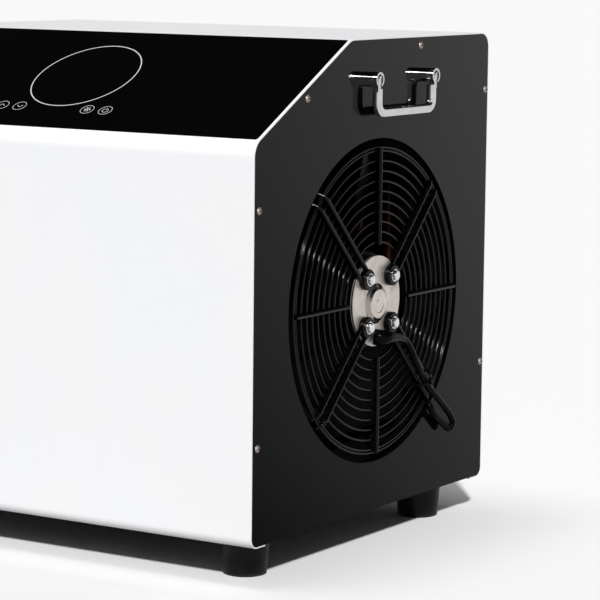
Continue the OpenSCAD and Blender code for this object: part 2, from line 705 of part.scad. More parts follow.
// Bail: a bent bar with rounded edges whose narrow tangs turn on the pins
bail_mid_r = bail_in_r + bail_w / 2;
arm_y = post_pitch / 2 + tang_w / 2 - bail_w / 2;
post_corner = norm([post_len - pin_x, post_d / 2]);
arm_top = post_corner + 2 * fit_gap;
edge_r = 3;
edge_steps = 4;
module bail_bar() polygon(rounded([
    [-bail_t / 2, -bail_w / 2], [bail_t / 2, -bail_w / 2], [bail_t / 2, bail_w / 2], [-bail_t / 2, bail_w / 2]
  ], [edge_r, edge_r, edge_r, edge_r], steps = edge_steps, least = edge_r));
module bail_half() {
  corner_z = -bail_drop + bail_w / 2 + bail_mid_r;
  corner_y = arm_y - bail_mid_r;
  translate([0, arm_y, corner_z]) linear_extrude(-arm_top - corner_z) bail_bar();
  translate([0, corner_y, corner_z]) rotate([90, 0, 90]) rotate([0, 0, -90]) rotate_extrude(angle = 90)
    translate([bail_mid_r, 0]) rotate(90) bail_bar();
  translate([0, 0, -bail_drop + bail_w / 2]) rotate([-90, 0, 0]) linear_extrude(corner_y) bail_bar();
  translate([0, post_pitch / 2, 0]) difference() {
    union() {
      y_cyl(-tang_w / 2, tang_w / 2, tang_r);
      box([-tang_r, -tang_w / 2, -arm_top - edge_r], [tang_r, tang_w / 2, 0]);
    }
    y_cyl(-tang_w, tang_w, pin_d / 2 + pin_play, $fn = thin_fn);
  }
}
module bail(side) color(chrome) in_case() mirrored(side) translate([case_w / 2 + pin_x, handle_y, handle_z]) {
  bail_half();
  mirror([0, 1, 0]) bail_half();
}
module right_bail() bail(1);
module left_bail() bail(-1);

// Fan duct fixed behind the end panel
duct_in_r = opening_r + panel_t + fit_gap;
module fan_duct() color(matt_black) at_fan() {
  x_tube(-panel_t - duct_len, -panel_t, duct_in_r + duct_t, duct_in_r);
  x_tube(-panel_t - duct_t, -panel_t, duct_in_r + duct_flange_w, duct_in_r);
  x_tube(-panel_t - duct_len, -panel_t - duct_len + duct_t, duct_in_r + duct_flange_w / 2, duct_in_r);
}

// Wire guard: rings, four single spokes and four double arms that carry the motor
wire_x = spoke_d / 2 + fit_gap / 2;
weld_sink = 0.4;
ring_x = wire_x - spoke_d / 2 - ring_d / 2 + weld_sink;
bolt_r = bolt_square / sqrt(2);
spoke_in_r = ring_first_r - ring_d;
leg_r = sqrt(pow(duct_in_r - spoke_d / 2 - fit_gap, 2) - pow(arm_gap / 2, 2));
leg_x = -14;
leg_end_x = -34;
knee_cut = 2.5;
module fan_guard() color(wire_black) at_fan() {
  for (k = [0 : ring_count - 1]) x_ring(ring_x, ring_first_r + k * ring_pitch, ring_d / 2);
  x_ring(ring_x, rim_r, ring_d / 2);
  for (a = [0 : 90 : 270]) rotate([a, 0, 0]) translate([wire_x, 0, 0])
    y_cyl(spoke_in_r, rim_r, spoke_d / 2, $fn = thin_fn);
  for (a = [45 : 90 : 315]) rotate([a, 0, 0]) difference() {
    union() {
      translate([0, bolt_r, 0]) x_cyl(0, 2 * wire_x, eyelet_d / 2);
      for (s = sides) translate([0, 0, s * arm_gap / 2]) bent_wire([
        [wire_x, bolt_r, 0],
        [wire_x, arm_knee_r - knee_cut, 0],
        [wire_x - knee_cut / 2, arm_knee_r + knee_cut / 2, 0],
        [leg_x, leg_r, 0],
        [leg_end_x, leg_r, 0]
      ], spoke_d / 2);
    }
    translate([0, bolt_r, 0]) x_cyl(-over, 2 * wire_x + over, motor_bolt_d / 2 + fit_gap, $fn = thin_fn);
  }
}

// Motor: front plate with its bearing tube, stator, windings and bearings
boss_y = 6.5;
boss_z = -2.7;
boss_r = 13;
boss_dimple_r = 5;
boss_groove_r = 20;
boss_groove_depth = 2;
tube_wall = 4;
tube_r = bearing_d / 2 + tube_wall;
tube_len = 46;
rim_groove = 2;
rim_shares = [0.35, 0.6];
seat_share = 0.75;
cable_hole_z = -37;
motor_cable_d = 7;
module at_motor_bolts() for (a = [45 : 90 : 315]) rotate([a, 0, 0]) translate([0, bolt_r, 0]) children();
module motor_plate() color(cast_aluminium) at_fan() difference() {
  union() {
    x_cyl(-plate_t, 0, plate_d / 2);
    x_cyl(-plate_t - tube_len, -plate_t, tube_r);
  }
  x_tube(-plate_t * rim_shares[1], -plate_t * rim_shares[0], plate_d, plate_d / 2 - rim_groove);
  difference() {
    translate([0, 0, boss_z]) x_cyl(-boss_groove_depth, over, boss_groove_r);
    translate([0, boss_y, boss_z]) x_cyl(-boss_groove_depth - over, 2 * over, boss_r);
  }
  translate([0, boss_y, boss_z]) x_cyl(-boss_groove_depth / 2, over, boss_dimple_r);
  x_cyl(-plate_t - tube_len - over, -plate_t * seat_share, bearing_d / 2 + shaft_play);
  at_motor_bolts() x_cyl(-plate_t - over, over, motor_bolt_d / 2 + fit_gap, $fn = thin_fn);
  translate([0, 0, cable_hole_z]) x_cyl(-plate_t - over, over, motor_cable_d / 2, $fn = thin_fn);
}
washer_t = 1.2;
washer_share = 1.05;
washer_r = motor_bolt_d * washer_share;
motor_bolt_head_h = 4;
module motor_bolts() color(zinc) at_fan() at_motor_bolts() translate([2 * wire_x, 0, 0]) {
  x_cyl(-2 * wire_x - plate_t + over, 0, motor_bolt_d / 2, $fn = thin_fn);
  x_cyl(0, washer_t, washer_r, $fn = thin_fn);
  translate([washer_t, 0, 0]) rotate([0, 90, 0]) linear_extrude(motor_bolt_head_h)
    polygon(across_flats(motor_bolt_d * hex_share, 6));
}
rotor_gap = 1.5;
can_front_x = -plate_t - rotor_gap;
can_back_x = can_front_x - can_len;
can_in_r = can_d / 2 - can_wall;
air_gap = 0.8;
stator_r = can_in_r - air_gap;
stator_in = 10;
stator_x = can_front_x - stator_in;
stator_len = 28;
stator_slots = 12;
slot_depth = 18;
module motor_stator() color(zinc) at_fan() difference() {
  x_tube(stator_x - stator_len, stator_x, stator_r, tube_r + shaft_play);
  for (k = [0 : stator_slots - 1]) rotate([360 * k / stator_slots, 0, 0])
    box([stator_x - stator_len - over, stator_r - slot_depth, -shaft_d / 6], [stator_x + over, stator_r + over, shaft_d / 6]);
}
winding_t = 7;
winding_in = 3;
module motor_windings() color(copper) at_fan() for (x = [stator_x, stator_x - stator_len - winding_t])
  x_tube(x, x + winding_t, stator_r - winding_in, stator_r - slot_depth);
bearing_xs = [-plate_t - bearing_w, -plate_t - tube_len];
module motor_bearings() color(zinc) at_fan() for (x = bearing_xs)
  x_tube(x, x + bearing_w, bearing_d / 2, shaft_d / 2 + shaft_play);

// Rotor: shaft, outer can and blades turn together
module rotor_shaft() color(zinc) at_fan() x_cyl(can_back_x, -plate_t * seat_share - fit_gap, shaft_d / 2);
module rotor_can() color(matt_black) at_fan() difference() {
  union() {
    x_tube(can_back_x, can_front_x, can_d / 2, can_in_r);
    x_cyl(can_back_x, can_back_x + can_wall, can_d / 2);
  }
  x_cyl(can_back_x - over, can_front_x + over, shaft_d / 2);
}
blade_mid_share = 0.6;
blade_mid_x = can_front_x - can_len * blade_mid_share;
blade_ring_t = 2;
lead_centre_shares = [0.667, -0.467];
lead_r_share = 0.733;
trail_centre_shares = [0.533, -0.967];
trail_r_share = 0.72;
blade_root_share = 0.17;
ring_front_share = 0.22;
ring_back_share = 0.15;
blade_reach = blade_tip_r / 3;
module blade_outline() difference() {
  intersection() {
    circle(r = blade_tip_r);
    translate(blade_tip_r * lead_centre_shares) circle(r = blade_tip_r * lead_r_share);
    translate([blade_tip_r * blade_root_share, -blade_tip_r]) square([blade_tip_r, 2 * blade_tip_r]);
  }
  translate(blade_tip_r * trail_centre_shares) circle(r = blade_tip_r * trail_r_share);
  circle(r = can_d / 2 + 2 * shaft_play);
}
module blade() intersection() {
  along_x(blade_mid_x - blade_reach, blade_mid_x + blade_reach) blade_outline();
  translate([blade_mid_x + blade_camber_r * cos(blade_pitch), 0, -blade_camber_r * sin(blade_pitch)])
    difference() {
      y_cyl(0, blade_tip_r + over, blade_camber_r);
      y_cyl(-over, blade_tip_r + 2 * over, blade_camber_r - blade_t);
    }
}
module fan_blades() color(wire_black) at_fan() {
  x_tube(blade_mid_x - blade_tip_r * ring_back_share, blade_mid_x + blade_tip_r * ring_front_share,
    can_d / 2 + shaft_play + blade_ring_t, can_d / 2 + shaft_play);
  for (k = [0 : blade_count - 1]) rotate([360 * k / blade_count, 0, 0]) blade();
}

// Cable gland on the motor plate
gland_r = 5.5;
gland_base_r = 8;
gland_base_h = 3;
cable_start = [8.5, 6, -37];
module motor_gland() color(matt_black) at_fan() translate([0, 0, cable_start[2]]) {
  x_cyl(0, gland_base_h, gland_base_r);
  x_cyl(0, cable_start[0] + gland_r, gland_r);
  translate([cable_start[0], 0, 0]) y_cyl(0, cable_start[1], gland_r - fit_gap);
}

// Motor cable: along the lower rear arm, round in a loop, into the duct, down to the pan
// and up to the electric box, as [x, y, z] from the fan's centre on the panel's face
cable_in_x = -90;
cable_low_z = pan_t + motor_cable_d / 2 + fit_gap - fan_z;
cable_lifts = [5, 19, 24];
box_z = [200, 330];
cable_route = [
  cable_start, [8.5, 18, -37], [8.8, 31, -39], [9, 43, -46], [9, 55, -57.5], [8.8, 70, -72.5],
  [8.8, 88, -90.5], [9, 106, -109], [10, 124, -127], [10.5, 137, -139.5], [10, 142, -148],
  [8.5, 136, -153], [7, 126, -150], [6, 116, -140], [5.5, 110.5, -130], [3, 109.5, -119],
  [-3, 112.5, -115], [-8, 113.5, -114], [-20, 113.5, -113.5], [-66, 113.5, -113.5],
  [-76, 113.5, -118], [-84, 112, -135], [-87, 110, -165], [-89, 104, cable_low_z + cable_lifts[1]],
  [cable_in_x, 90, cable_low_z + cable_lifts[0]], [cable_in_x, 70, cable_low_z],
  [cable_in_x, -160, cable_low_z], [cable_in_x, -180, cable_low_z + cable_lifts[0]],
  [cable_in_x, -190, cable_low_z + cable_lifts[2]], [cable_in_x, -190, box_z[0] - fan_z]
];
cable_sides = 10;
cable_step = 2.5 * motor_cable_d;
cable_points = [
  for (i = [0 : len(cable_route) - 2])
    let (a = cable_route[i], b = cable_route[i + 1], n = ceil(norm(b - a) / cable_step))
    for (k = [0 : n - 1]) a + (b - a) * k / n,
  cable_route[len(cable_route) - 1]
];
cable_last = len(cable_points) - 1;
function cable_dir(i) =
  i == 0 ? unit(cable_points[1] - cable_points[0]) :
  i == cable_last ? unit(cable_points[i] - cable_points[i - 1]) :
  unit(unit(cable_points[i + 1] - cable_points[i]) + unit(cable_points[i] - cable_points[i - 1]));
// Direction across the cable, carried along without twist
function carried(v, d) = unit(v - d * (v * d));
function cable_frames(i, v) = i > cable_last ? [] :
  let (w = carried(v, cable_dir(i))) concat([w], cable_frames(i + 1, w));
cable_across = cable_frames(0, [1, 0, 0]);
module fan_cable() color(matt_black) at_fan() polyhedron(
  points = [
    for (i = [0 : cable_last], k = [0 : cable_sides - 1])
      let (a = 360 * k / cable_sides, u = cable_across[i])
      cable_points[i] + motor_cable_d / 2 * (u * cos(a) + cross(cable_dir(i), u) * sin(a))
  ],
  faces = concat(
    [[for (k = [cable_sides - 1 : -1 : 0]) k]],
    [for (i = [0 : cable_last - 1], k = [0 : cable_sides - 1])
      let (m = (k + 1) % cable_sides, p = i * cable_sides, q = p + cable_sides)
      for (face = [[p + k, p + m, q + m], [p + k, q + m, q + k]]) face],
    [[for (k = [0 : cable_sides - 1]) cable_last * cable_sides + k]]
  )
);

// Tie that holds the cable on the lower rear arm, between two guard rings
tie_w = 3.6;
tie_t = 1.1;
tie_ring = 6.5;
tie_spread = 4.6;
tie_top_x = 12.6;
tie_top_zs = [-7.3, 3.7];
tie_head = [4, 5, 4.5];
tie_bends = [2.4, 3, 3, 2.4];
module cable_tie() color(matt_black) at_fan() rotate([-45, 0, 0])
  translate([0, ring_first_r + tie_ring * ring_pitch + tie_w / 2, 0]) {
    rotate([90, 0, 0]) linear_extrude(tie_w) difference() {
      tie_outline(-tie_t);
      tie_outline(0);
    }
    translate([tie_top_x + tie_t, -tie_w / 2 - tie_head[1] / 2, tie_top_zs[0] + tie_t]) cube(tie_head);
  }
module tie_outline(inset) polygon(rounded([
  [-fit_gap, -arm_gap / 2 - tie_spread],
  [tie_top_x, tie_top_zs[0]],
  [tie_top_x, tie_top_zs[1]],
  [-fit_gap, arm_gap / 2 + tie_spread]
], tie_bends, inset));

// Condenser: fin pack, two columns of tubes and a frame that stands on the pan
frame_t = 1.5;
fins_y = (panel_d - fins_w) / 2;
fins_z = pan_t + cond_leg;
tube_pitch = fins_h / tube_rows;
tube_col_shares = [0.27, 0.73];
tube_cols = [for (share = tube_col_shares) fins_x + fins_t * share];
tube_reach = 6;
tube_y0 = fins_y - frame_t - tube_reach;
tube_y1 = fins_y + fins_w + frame_t + tube_reach;
groove_depth = 5;
groove_w = 4;
function tube_z(i) = fins_z + tube_pitch * (i + 0.5);
module tube_bores() for (x = tube_cols, i = [0 : tube_rows - 1])
  translate([x, 0, tube_z(i)]) y_cyl(tube_y0, tube_y1, tube_d / 2 + shaft_play, $fn = thin_fn);
module condenser_fins() color(fin_aluminium) in_case() difference() {
  box([fins_x, fins_y, fins_z], [fins_x + fins_t, fins_y + fins_w, fins_z + fins_h]);
  tube_bores();
  for (y = [fins_y + fin_pitch : fin_pitch : fins_y + fins_w - fin_pitch]) {
    box([fins_x - over, y - groove_w / 2, fins_z - over],
      [fins_x + groove_depth, y + groove_w / 2, fins_z + fins_h + over]);
    box([fins_x + fins_t - groove_depth, y - groove_w / 2, fins_z - over],
      [fins_x + fins_t + over, y + groove_w / 2, fins_z + fins_h + over]);
  }
}
module condenser_tubes() color(copper) in_case() {
  for (x = tube_cols) {
    for (i = [0 : tube_rows - 1]) translate([x, 0, tube_z(i)]) y_cyl(tube_y0, tube_y1, tube_d / 2, $fn = thin_fn);
    for (i = [0 : 2 : tube_rows - 2]) translate([x, tube_y1 - bend_sink, tube_z(i) + tube_pitch / 2])
      tube_return(90, tube_pitch / 2);
    for (i = [1 : 2 : tube_rows - 3]) translate([x, tube_y0 + bend_sink, tube_z(i) + tube_pitch / 2])
      tube_return(-90, tube_pitch / 2);
  }
  translate([(tube_cols[0] + tube_cols[1]) / 2, tube_y0 + bend_sink, tube_z(0)]) rotate([0, 90, 0])
    tube_return(-90, (tube_cols[1] - tube_cols[0]) / 2);
}
// Half turn whose swelled ends take in two tubes above and below its centre
module tube_return(side_a, r) rotate([0, 0, side_a]) rotate([90, 0, 0]) rotate([0, 0, -90])
  rotate_extrude(angle = 180) translate([r, 0]) circle(d = tube_d * corner_swell, $fn = thin_fn);
module condenser_frame() color(zinc) in_case() difference() {
  union() {
    for (y = [fins_y - frame_t, fins_y + fins_w])
      box([fins_x, y, pan_t], [fins_x + fins_t, y + frame_t, fins_z + fins_h + frame_t]);
    for (z = [fins_z - frame_t, fins_z + fins_h])
      box([fins_x, fins_y - frame_t, z], [fins_x + fins_t, fins_y + fins_w + frame_t, z + frame_t]);
  }
  tube_bores();
  for (p = foot_places) translate([p[0], p[1], 0]) z_cyl(0, pan_t + nut_h + 2 * foot_edge, foot_bolt_d);
}

// Compressor on three rubber mounts
comp_plate_t = 3;
comp_ear_r = 14;
comp_plate_z = pan_t + grommet_h;
comp_z = comp_plate_z + comp_plate_t;
comp_edge_share = 0.28;
comp_edge_r = comp_d * comp_edge_share;
comp_seam_share = 0.62;
comp_seam_z = comp_h * comp_seam_share;
comp_seam_t = 2;
suction_z = 24;
suction_d = 12;
stub_len = 5;
accu_gap = 6;
discharge_share = 0.24;
discharge_off = comp_d * discharge_share;
module at_comp() in_case() translate([comp_x, comp_y, 0]) children();
module dome_can(r, h, bend) rotate_extrude() polygon(concat(
  [[0, 0]],
  [for (k = [0 : bend_steps]) [r - bend, bend] + bend * [sin(90 * k / bend_steps), -cos(90 * k / bend_steps)]],
  [for (k = [0 : bend_steps]) [r - bend, h - bend] + bend * [cos(90 * k / bend_steps), sin(90 * k / bend_steps)]],
  [[0, h]]
));
module compressor() color(matt_black) at_comp() {
  translate([0, 0, comp_z - over]) dome_can(comp_d / 2, comp_h + over, comp_edge_r);
  translate([0, 0, comp_z]) z_cyl(comp_seam_z, comp_seam_z + comp_seam_t * 2, comp_d / 2 + comp_seam_t);
  translate([0, 0, comp_plate_z]) linear_extrude(comp_plate_t) difference() {
    polygon(rounded([for (a = [90, 210, 330]) (comp_stud_r + 2 * comp_ear_r) * [cos(a), sin(a)]],
      [comp_ear_r, comp_ear_r, comp_ear_r]));
    for (a = [90, 210, 330]) rotate(a) translate([comp_stud_r, 0]) circle(d = comp_stud_d + 2 * fit_gap);
  }
  translate([0, 0, comp_z + suction_z]) y_cyl(-comp_d / 2 - stub_len, 0, suction_d / 2 + over);
  translate([discharge_off, 0, comp_z]) z_cyl(comp_h / 2, comp_h + stub_len, tube_d / 2 + over);
}
waist_shares = [0.3, 0.75, 0.7];
module compressor_mounts() color(rubber) in_case() for (p = comp_studs) translate([p[0], p[1], pan_t])
  rotate_extrude() polygon([
    [comp_stud_d / 2 + fit_gap, 0],
    [comp_ear_r, 0],
    [comp_ear_r, grommet_h * waist_shares[0]],
    [comp_ear_r * waist_shares[1], grommet_h / 2],
    [comp_ear_r, grommet_h * waist_shares[2]],
    [comp_ear_r, grommet_h],
    [comp_stud_d / 2 + fit_gap, grommet_h]
  ]);
module compressor_bolts() color(zinc) in_case() for (p = comp_studs) translate([p[0], p[1], comp_z]) {
  z_cyl(-comp_z, 0, comp_stud_d / 2);
  linear_extrude(nut_h) polygon(across_flats(comp_stud_d * hex_share, 6));
}
cap_h = 26;
cap_share = 0.4;
cap_d = comp_d * cap_share;
cap_edge_share = 0.18;
module compressor_cap() color(matt_black) at_comp()
  translate([-comp_d / 10, 0, comp_z + comp_h]) dome_can(cap_d / 2, cap_h, cap_d * cap_edge_share);
accu_h = 132;
accu_z = comp_z + suction_z + accu_d * 0.75;
accu_y = comp_y - comp_d / 2 - accu_gap - accu_d / 2;
module accumulator() color(matt_black) in_case() {
  translate([comp_x, accu_y, accu_z]) dome_can(accu_d / 2, accu_h, accu_d * 0.3);
  pipe_run([
    [comp_x, accu_y, accu_z + over],
    [comp_x, accu_y, comp_z + suction_z],
    [comp_x, comp_y - comp_d / 2 - stub_len, comp_z + suction_z]
  ], suction_d / 2, suction_d * 1.2);
}

// Evaporator: plastic barrel with two water ports and a bolted lid
barrel_wall = 6;
lid_h = 16;
port_len = 10;
port_r = 15;
port_off = barrel_d / 6;
barrel_top = pan_t + barrel_h;
module evaporator_barrel() color(matt_black) in_case() translate([barrel_x, barrel_y, 0]) difference() {
  union() {
    z_cyl(pan_t, barrel_top, barrel_d / 2);
    for (z = [water_low, water_high]) translate([0, 0, z]) y_cyl(0, barrel_d / 2 + port_len, port_r);
  }
  z_cyl(pan_t + barrel_wall, barrel_top + over, barrel_d / 2 - barrel_wall);
  for (z = [water_low, water_high]) translate([0, 0, z])
    y_cyl(0, barrel_d / 2 + port_len + over, spigot_bore_d / 2);
}
lid_screws = 8;
module evaporator_lid() color(gloss_black) in_case() translate([barrel_x, barrel_y, barrel_top]) {
  z_cyl(0, lid_h * 0.4, barrel_d / 2);
  translate([0, 0, lid_h * 0.4]) z_cyl(0, lid_h * 0.6, barrel_d / 2 - barrel_wall * 2);
  for (k = [0 : lid_screws - 1]) rotate(360 * k / lid_screws) translate([barrel_d / 2 - barrel_wall, 0, lid_h * 0.2])
    linear_extrude(lid_h * 0.45) polygon(across_flats(barrel_wall * 1.3, 6));
  for (s = sides) translate([s * port_off, 0, 0]) z_cyl(lid_h / 2, lid_h + stub_len, tube_d);
}
lid_top = barrel_top + lid_h + stub_len;

// Refrigerant pipes
pipe_bend_r = 14;
loop_x_share = 0.927;
return_x_share = 0.8415;
loop_in = 44;
loop_x = round(room_x + room_w * loop_x_share);
loop_y = panel_d - loop_in;
loop_low_z = 96;
loop_top_z = 330;
return_x = round(room_x + room_w * return_x_share);
top_pipe_gap = 12;
top_pipe_z = fins_z + fins_h + frame_t + top_pipe_gap;
front_pipe_y = 20;
module discharge_pipe() color(copper) in_case() pipe_run([
  [comp_x + discharge_off, comp_y, comp_z + comp_h + stub_len],
  [comp_x + discharge_off, comp_y, loop_top_z],
  [comp_x + discharge_off, loop_y, loop_top_z],
  [loop_x, loop_y, loop_top_z],
  [loop_x, loop_y, loop_low_z],
  [return_x, loop_y, loop_low_z],
  [return_x, loop_y, top_pipe_z],
  [tube_cols[1], loop_y, top_pipe_z],
  [tube_cols[1], front_pipe_y + pipe_bend_r, top_pipe_z],
  [tube_cols[1], front_pipe_y + pipe_bend_r, tube_z(tube_rows - 1)],
  [tube_cols[1], tube_y0, tube_z(tube_rows - 1)]
], tube_d / 2, pipe_bend_r);
drier_x = barrel_x + port_off;
drier_low_z = 92;
drier_len = 110;
drier_r = 11;
pipe_rise = 24;
liquid_top_z = lid_top + pipe_rise;
module liquid_pipe() color(copper) in_case() {
  pipe_run([
    [tube_cols[0], tube_y0, tube_z(tube_rows - 1)],
    [tube_cols[0], front_pipe_y, tube_z(tube_rows - 1)],
    [tube_cols[0], front_pipe_y, drier_low_z / 2],
    [drier_x, front_pipe_y, drier_low_z / 2],
    [drier_x, front_pipe_y, drier_low_z]
  ], tube_d / 2, pipe_bend_r);
  pipe_run([
    [drier_x, front_pipe_y, drier_low_z + drier_len],
    [drier_x, front_pipe_y, liquid_top_z],
    [drier_x, barrel_y, liquid_top_z],
    [drier_x, barrel_y, lid_top]
  ], tube_d / 2, pipe_bend_r);
}
module filter_drier() color(copper) in_case() translate([drier_x, front_pipe_y, drier_low_z])
  dome_can(drier_r, drier_len, drier_r * 0.5);
pipe_gap = 4;
suction_top_z = liquid_top_z + tube_d / 2 + suction_d / 2 + pipe_gap;
module suction_pipe() color(copper) in_case() pipe_run([
  [barrel_x - port_off, barrel_y, lid_top],
  [barrel_x - port_off, barrel_y, suction_top_z],
  [comp_x, barrel_y, suction_top_z],
  [comp_x, accu_y, suction_top_z],
  [comp_x, accu_y, accu_z + accu_h]
], suction_d / 2, pipe_bend_r);

// Water connections through the rear panel
union_in = 16;
union_flange_w = 9;
union_flange_r = spigot_d / 2 + union_flange_w;
union_flange_t = 5;
spigot_edge = 1.5;
rear_face = panel_d + sheet_t;
module water_union(z) color(matt_black) in_case() translate([barrel_x, 0, z]) difference() {
  union() {
    y_cyl(panel_d - union_in, rear_face, union_hole_r);
    y_cyl(rear_face, rear_face + union_flange_t, union_flange_r);
    y_cyl(rear_face, rear_face + rear_reach - spigot_edge, spigot_d / 2);
    translate([0, rear_face + rear_reach - spigot_edge, 0]) rotate([-90, 0, 0])
      cylinder(h = spigot_edge, r1 = spigot_d / 2, r2 = spigot_d / 2 - spigot_edge);
  }
  y_cyl(panel_d - union_in - over, rear_face + rear_reach + over, spigot_bore_d / 2);
}
module water_inlet() water_union(water_high);
module water_outlet() water_union(water_low);
module water_pipes() color(pipe_white) in_case() for (z = [water_low, water_high]) translate([barrel_x, 0, z])
  difference() {
    y_cyl(barrel_y + barrel_d / 2 + port_len, panel_d - union_in, port_r - over);
    y_cyl(barrel_y + barrel_d / 2, panel_d, spigot_bore_d / 2);
  }
union_nut_t = 8;
module water_nuts() color(matt_black) in_case() for (z = [water_low, water_high])
  translate([barrel_x, panel_d, z]) rotate([90, 0, 0]) linear_extrude(union_nut_t) difference() {
    polygon(across_flats(2 * union_flange_r, 6));
    circle(r = union_hole_r + shaft_play);
  }

// Electric box on the inside of the front, its lid, and the capacitor on the pan
box_x_shares = [0.604, 0.96];
box_x = [for (share = box_x_shares) round(room_x + room_w * share)];
box_depth = 54;
box_wall = 2.5;
module electric_box() color(matt_black) in_case() difference() {
  box([box_x[0], 0, box_z[0]], [box_x[1], box_depth, box_z[1]]);
  box([box_x[0] + box_wall, box_wall, box_z[0] + box_wall],
    [box_x[1] - box_wall, box_depth + over, box_z[1] - box_wall]);
}
module electric_lid() color(gloss_black) in_case()
  box([box_x[0], box_depth, box_z[0]], [box_x[1], box_depth + box_wall, box_z[1]]);
cap_x = -20;
cap_y = 110;
run_cap_d = 40;
run_cap_h = 84;
module run_capacitor() color(fin_aluminium) in_case() translate([cap_x, cap_y, pan_t]) {
  dome_can(run_cap_d / 2, run_cap_h, run_cap_d * 0.08);
  for (s = sides) translate([s * run_cap_d / 5, 0, 0]) z_cyl(run_cap_h / 2, run_cap_h + stub_len * 2, run_cap_d / 12);
}

// Gland for the mains lead, left without its lead
gland_hex_t = 5;
gland_hex_share = 2.6;
gland_nose_share = 1.15;
gland_reach = 22;
mains_bore_r = 5;
gland_in = 12;
module mains_gland() color(matt_black) in_case() translate([gland_x, 0, gland_z]) {
  difference() {
    union() {
      y_cyl(panel_d - gland_in, rear_face, gland_thread_r);
      translate([0, rear_face + gland_hex_t, 0]) rotate([90, 0, 0]) linear_extrude(gland_hex_t)
        polygon(across_flats(gland_thread_r * gland_hex_share, 6));
      y_cyl(rear_face + gland_hex_t, rear_face + gland_reach, gland_thread_r * gland_nose_share);
    }
    y_cyl(panel_d - gland_in - over, rear_face + gland_reach + over, mains_bore_r);
  }
  translate([0, panel_d, 0]) rotate([90, 0, 0]) linear_extrude(gland_hex_t) difference() {
    polygon(across_flats(gland_thread_r * gland_hex_share, 6));
    circle(r = gland_thread_r + shaft_play);
  }
}

front_cover();
rear_panel();
right_panel();
left_panel();
base_pan();
foot_front_left();
foot_front_right();
foot_rear_left();
foot_rear_right();
foot_bolts();
foot_nuts();
control_glass();
display_carrier();
display_board();
right_panel_screws();
left_panel_screws();
rear_screws();
right_handle_posts();
right_handle_pins();
right_bail();
left_handle_posts();
left_handle_pins();
left_bail();
handle_screws();
fan_duct();
fan_guard();
motor_plate();
motor_bolts();
motor_stator();
motor_windings();
motor_bearings();
rotor_can();
rotor_shaft();
fan_blades();
motor_gland();
fan_cable();
cable_tie();
condenser_fins();
condenser_tubes();
condenser_frame();
compressor();
compressor_mounts();
compressor_bolts();
compressor_cap();
accumulator();
evaporator_barrel();
evaporator_lid();
filter_drier();
discharge_pipe();
liquid_pipe();
suction_pipe();
water_inlet();
water_outlet();
water_pipes();
water_nuts();
electric_box();
electric_lid();
run_capacitor();
mains_gland();
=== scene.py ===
import math

import bpy
from mathutils import Matrix, Vector


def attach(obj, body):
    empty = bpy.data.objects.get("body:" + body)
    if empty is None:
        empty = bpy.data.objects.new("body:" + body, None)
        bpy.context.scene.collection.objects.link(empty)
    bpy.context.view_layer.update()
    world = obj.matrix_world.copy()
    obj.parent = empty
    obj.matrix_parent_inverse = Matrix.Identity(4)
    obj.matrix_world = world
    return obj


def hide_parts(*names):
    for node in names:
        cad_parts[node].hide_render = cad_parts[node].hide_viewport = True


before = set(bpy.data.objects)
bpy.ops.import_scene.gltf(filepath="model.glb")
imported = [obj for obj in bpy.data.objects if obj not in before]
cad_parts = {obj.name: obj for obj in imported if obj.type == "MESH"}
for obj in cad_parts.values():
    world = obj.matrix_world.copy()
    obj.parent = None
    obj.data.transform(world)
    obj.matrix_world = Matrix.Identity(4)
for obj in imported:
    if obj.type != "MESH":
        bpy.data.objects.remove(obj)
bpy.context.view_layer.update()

# Ice bath chiller: the finishes of its sheet metal, glass, wire guard, fan, handles and pipes,
# with its printed keys, motor bolts, hub and motor cable modelled as separate pieces.

MM = 0.001

# Sizes of the case that the pieces on it share, in millimetres. The slope starts at the top of
# the front and rises by SLOPE_RISE over SLOPE_RUN.
CASE_MID_Y = 246.0
CASE_LIFT = 40.0
CASE_CENTRE_Z = 280.0
FRONT_H = 385.0
SLOPE_RISE = 94.0
SLOPE_RUN = 172.0
SLOPE_A = math.atan2(SLOPE_RISE, SLOPE_RUN)
GLASS_TOP = 1.2
DISPLAY_X = 2.6
FAN_CENTRE = (270.0, -20.0, 255.0)


def on_glass(x, s, n=0.0):
    """Point on the sloped glass: across, up the slope and proud of the glass, in millimetres."""
    n += GLASS_TOP
    y = s * math.cos(SLOPE_A) - n * math.sin(SLOPE_A) - CASE_MID_Y
    z = FRONT_H + s * math.sin(SLOPE_A) + n * math.cos(SLOPE_A) + CASE_LIFT
    return Vector((x, y, z)) * MM


def at_fan(x, y, z):
    """Point from the fan's centre on the end panel's face, in millimetres."""
    return (Vector(FAN_CENTRE) + Vector((x, y, z))) * MM


# ---------------------------------------------------------------- materials

# Most values of a noise lie between these, which are drawn out to the whole of a finish's range
NOISE_START = 0.35
NOISE_END = 0.65
# Length of one wave of a Wave texture at scale 1, in metres
WAVE_LENGTH = math.tau / 20


def hex_colour(code):
    """Linear colour of an sRGB hex value."""
    shares = [int(code[i : i + 2], 16) / 255 for i in (1, 3, 5)]
    return [c / 12.92 if c <= 0.04045 else ((c + 0.055) / 1.055) ** 2.4 for c in shares] + [1.0]


def add(tree, kind, values=None, links=None, **settings):
    """One shader node with its settings, socket values and incoming links."""
    node = tree.nodes.new("ShaderNode" + kind)
    for name, value in settings.items():
        setattr(node, name, value)
    for socket, value in (values or {}).items():
        node.inputs[socket].default_value = value
    for socket, source in (links or {}).items():
        tree.links.new(source, node.inputs[socket])
    return node


def ramp(start, end, low, high):
    """Socket values that turn start to end into low to high."""
    return {"From Min": start, "From Max": end, "To Min": low, "To Max": high}


def lumps(size_mm, detail):
    """Socket values of a noise whose lumps are about size_mm wide."""
    return {"Scale": 1 / (size_mm * MM), "Detail": detail, "Roughness": 0.55}


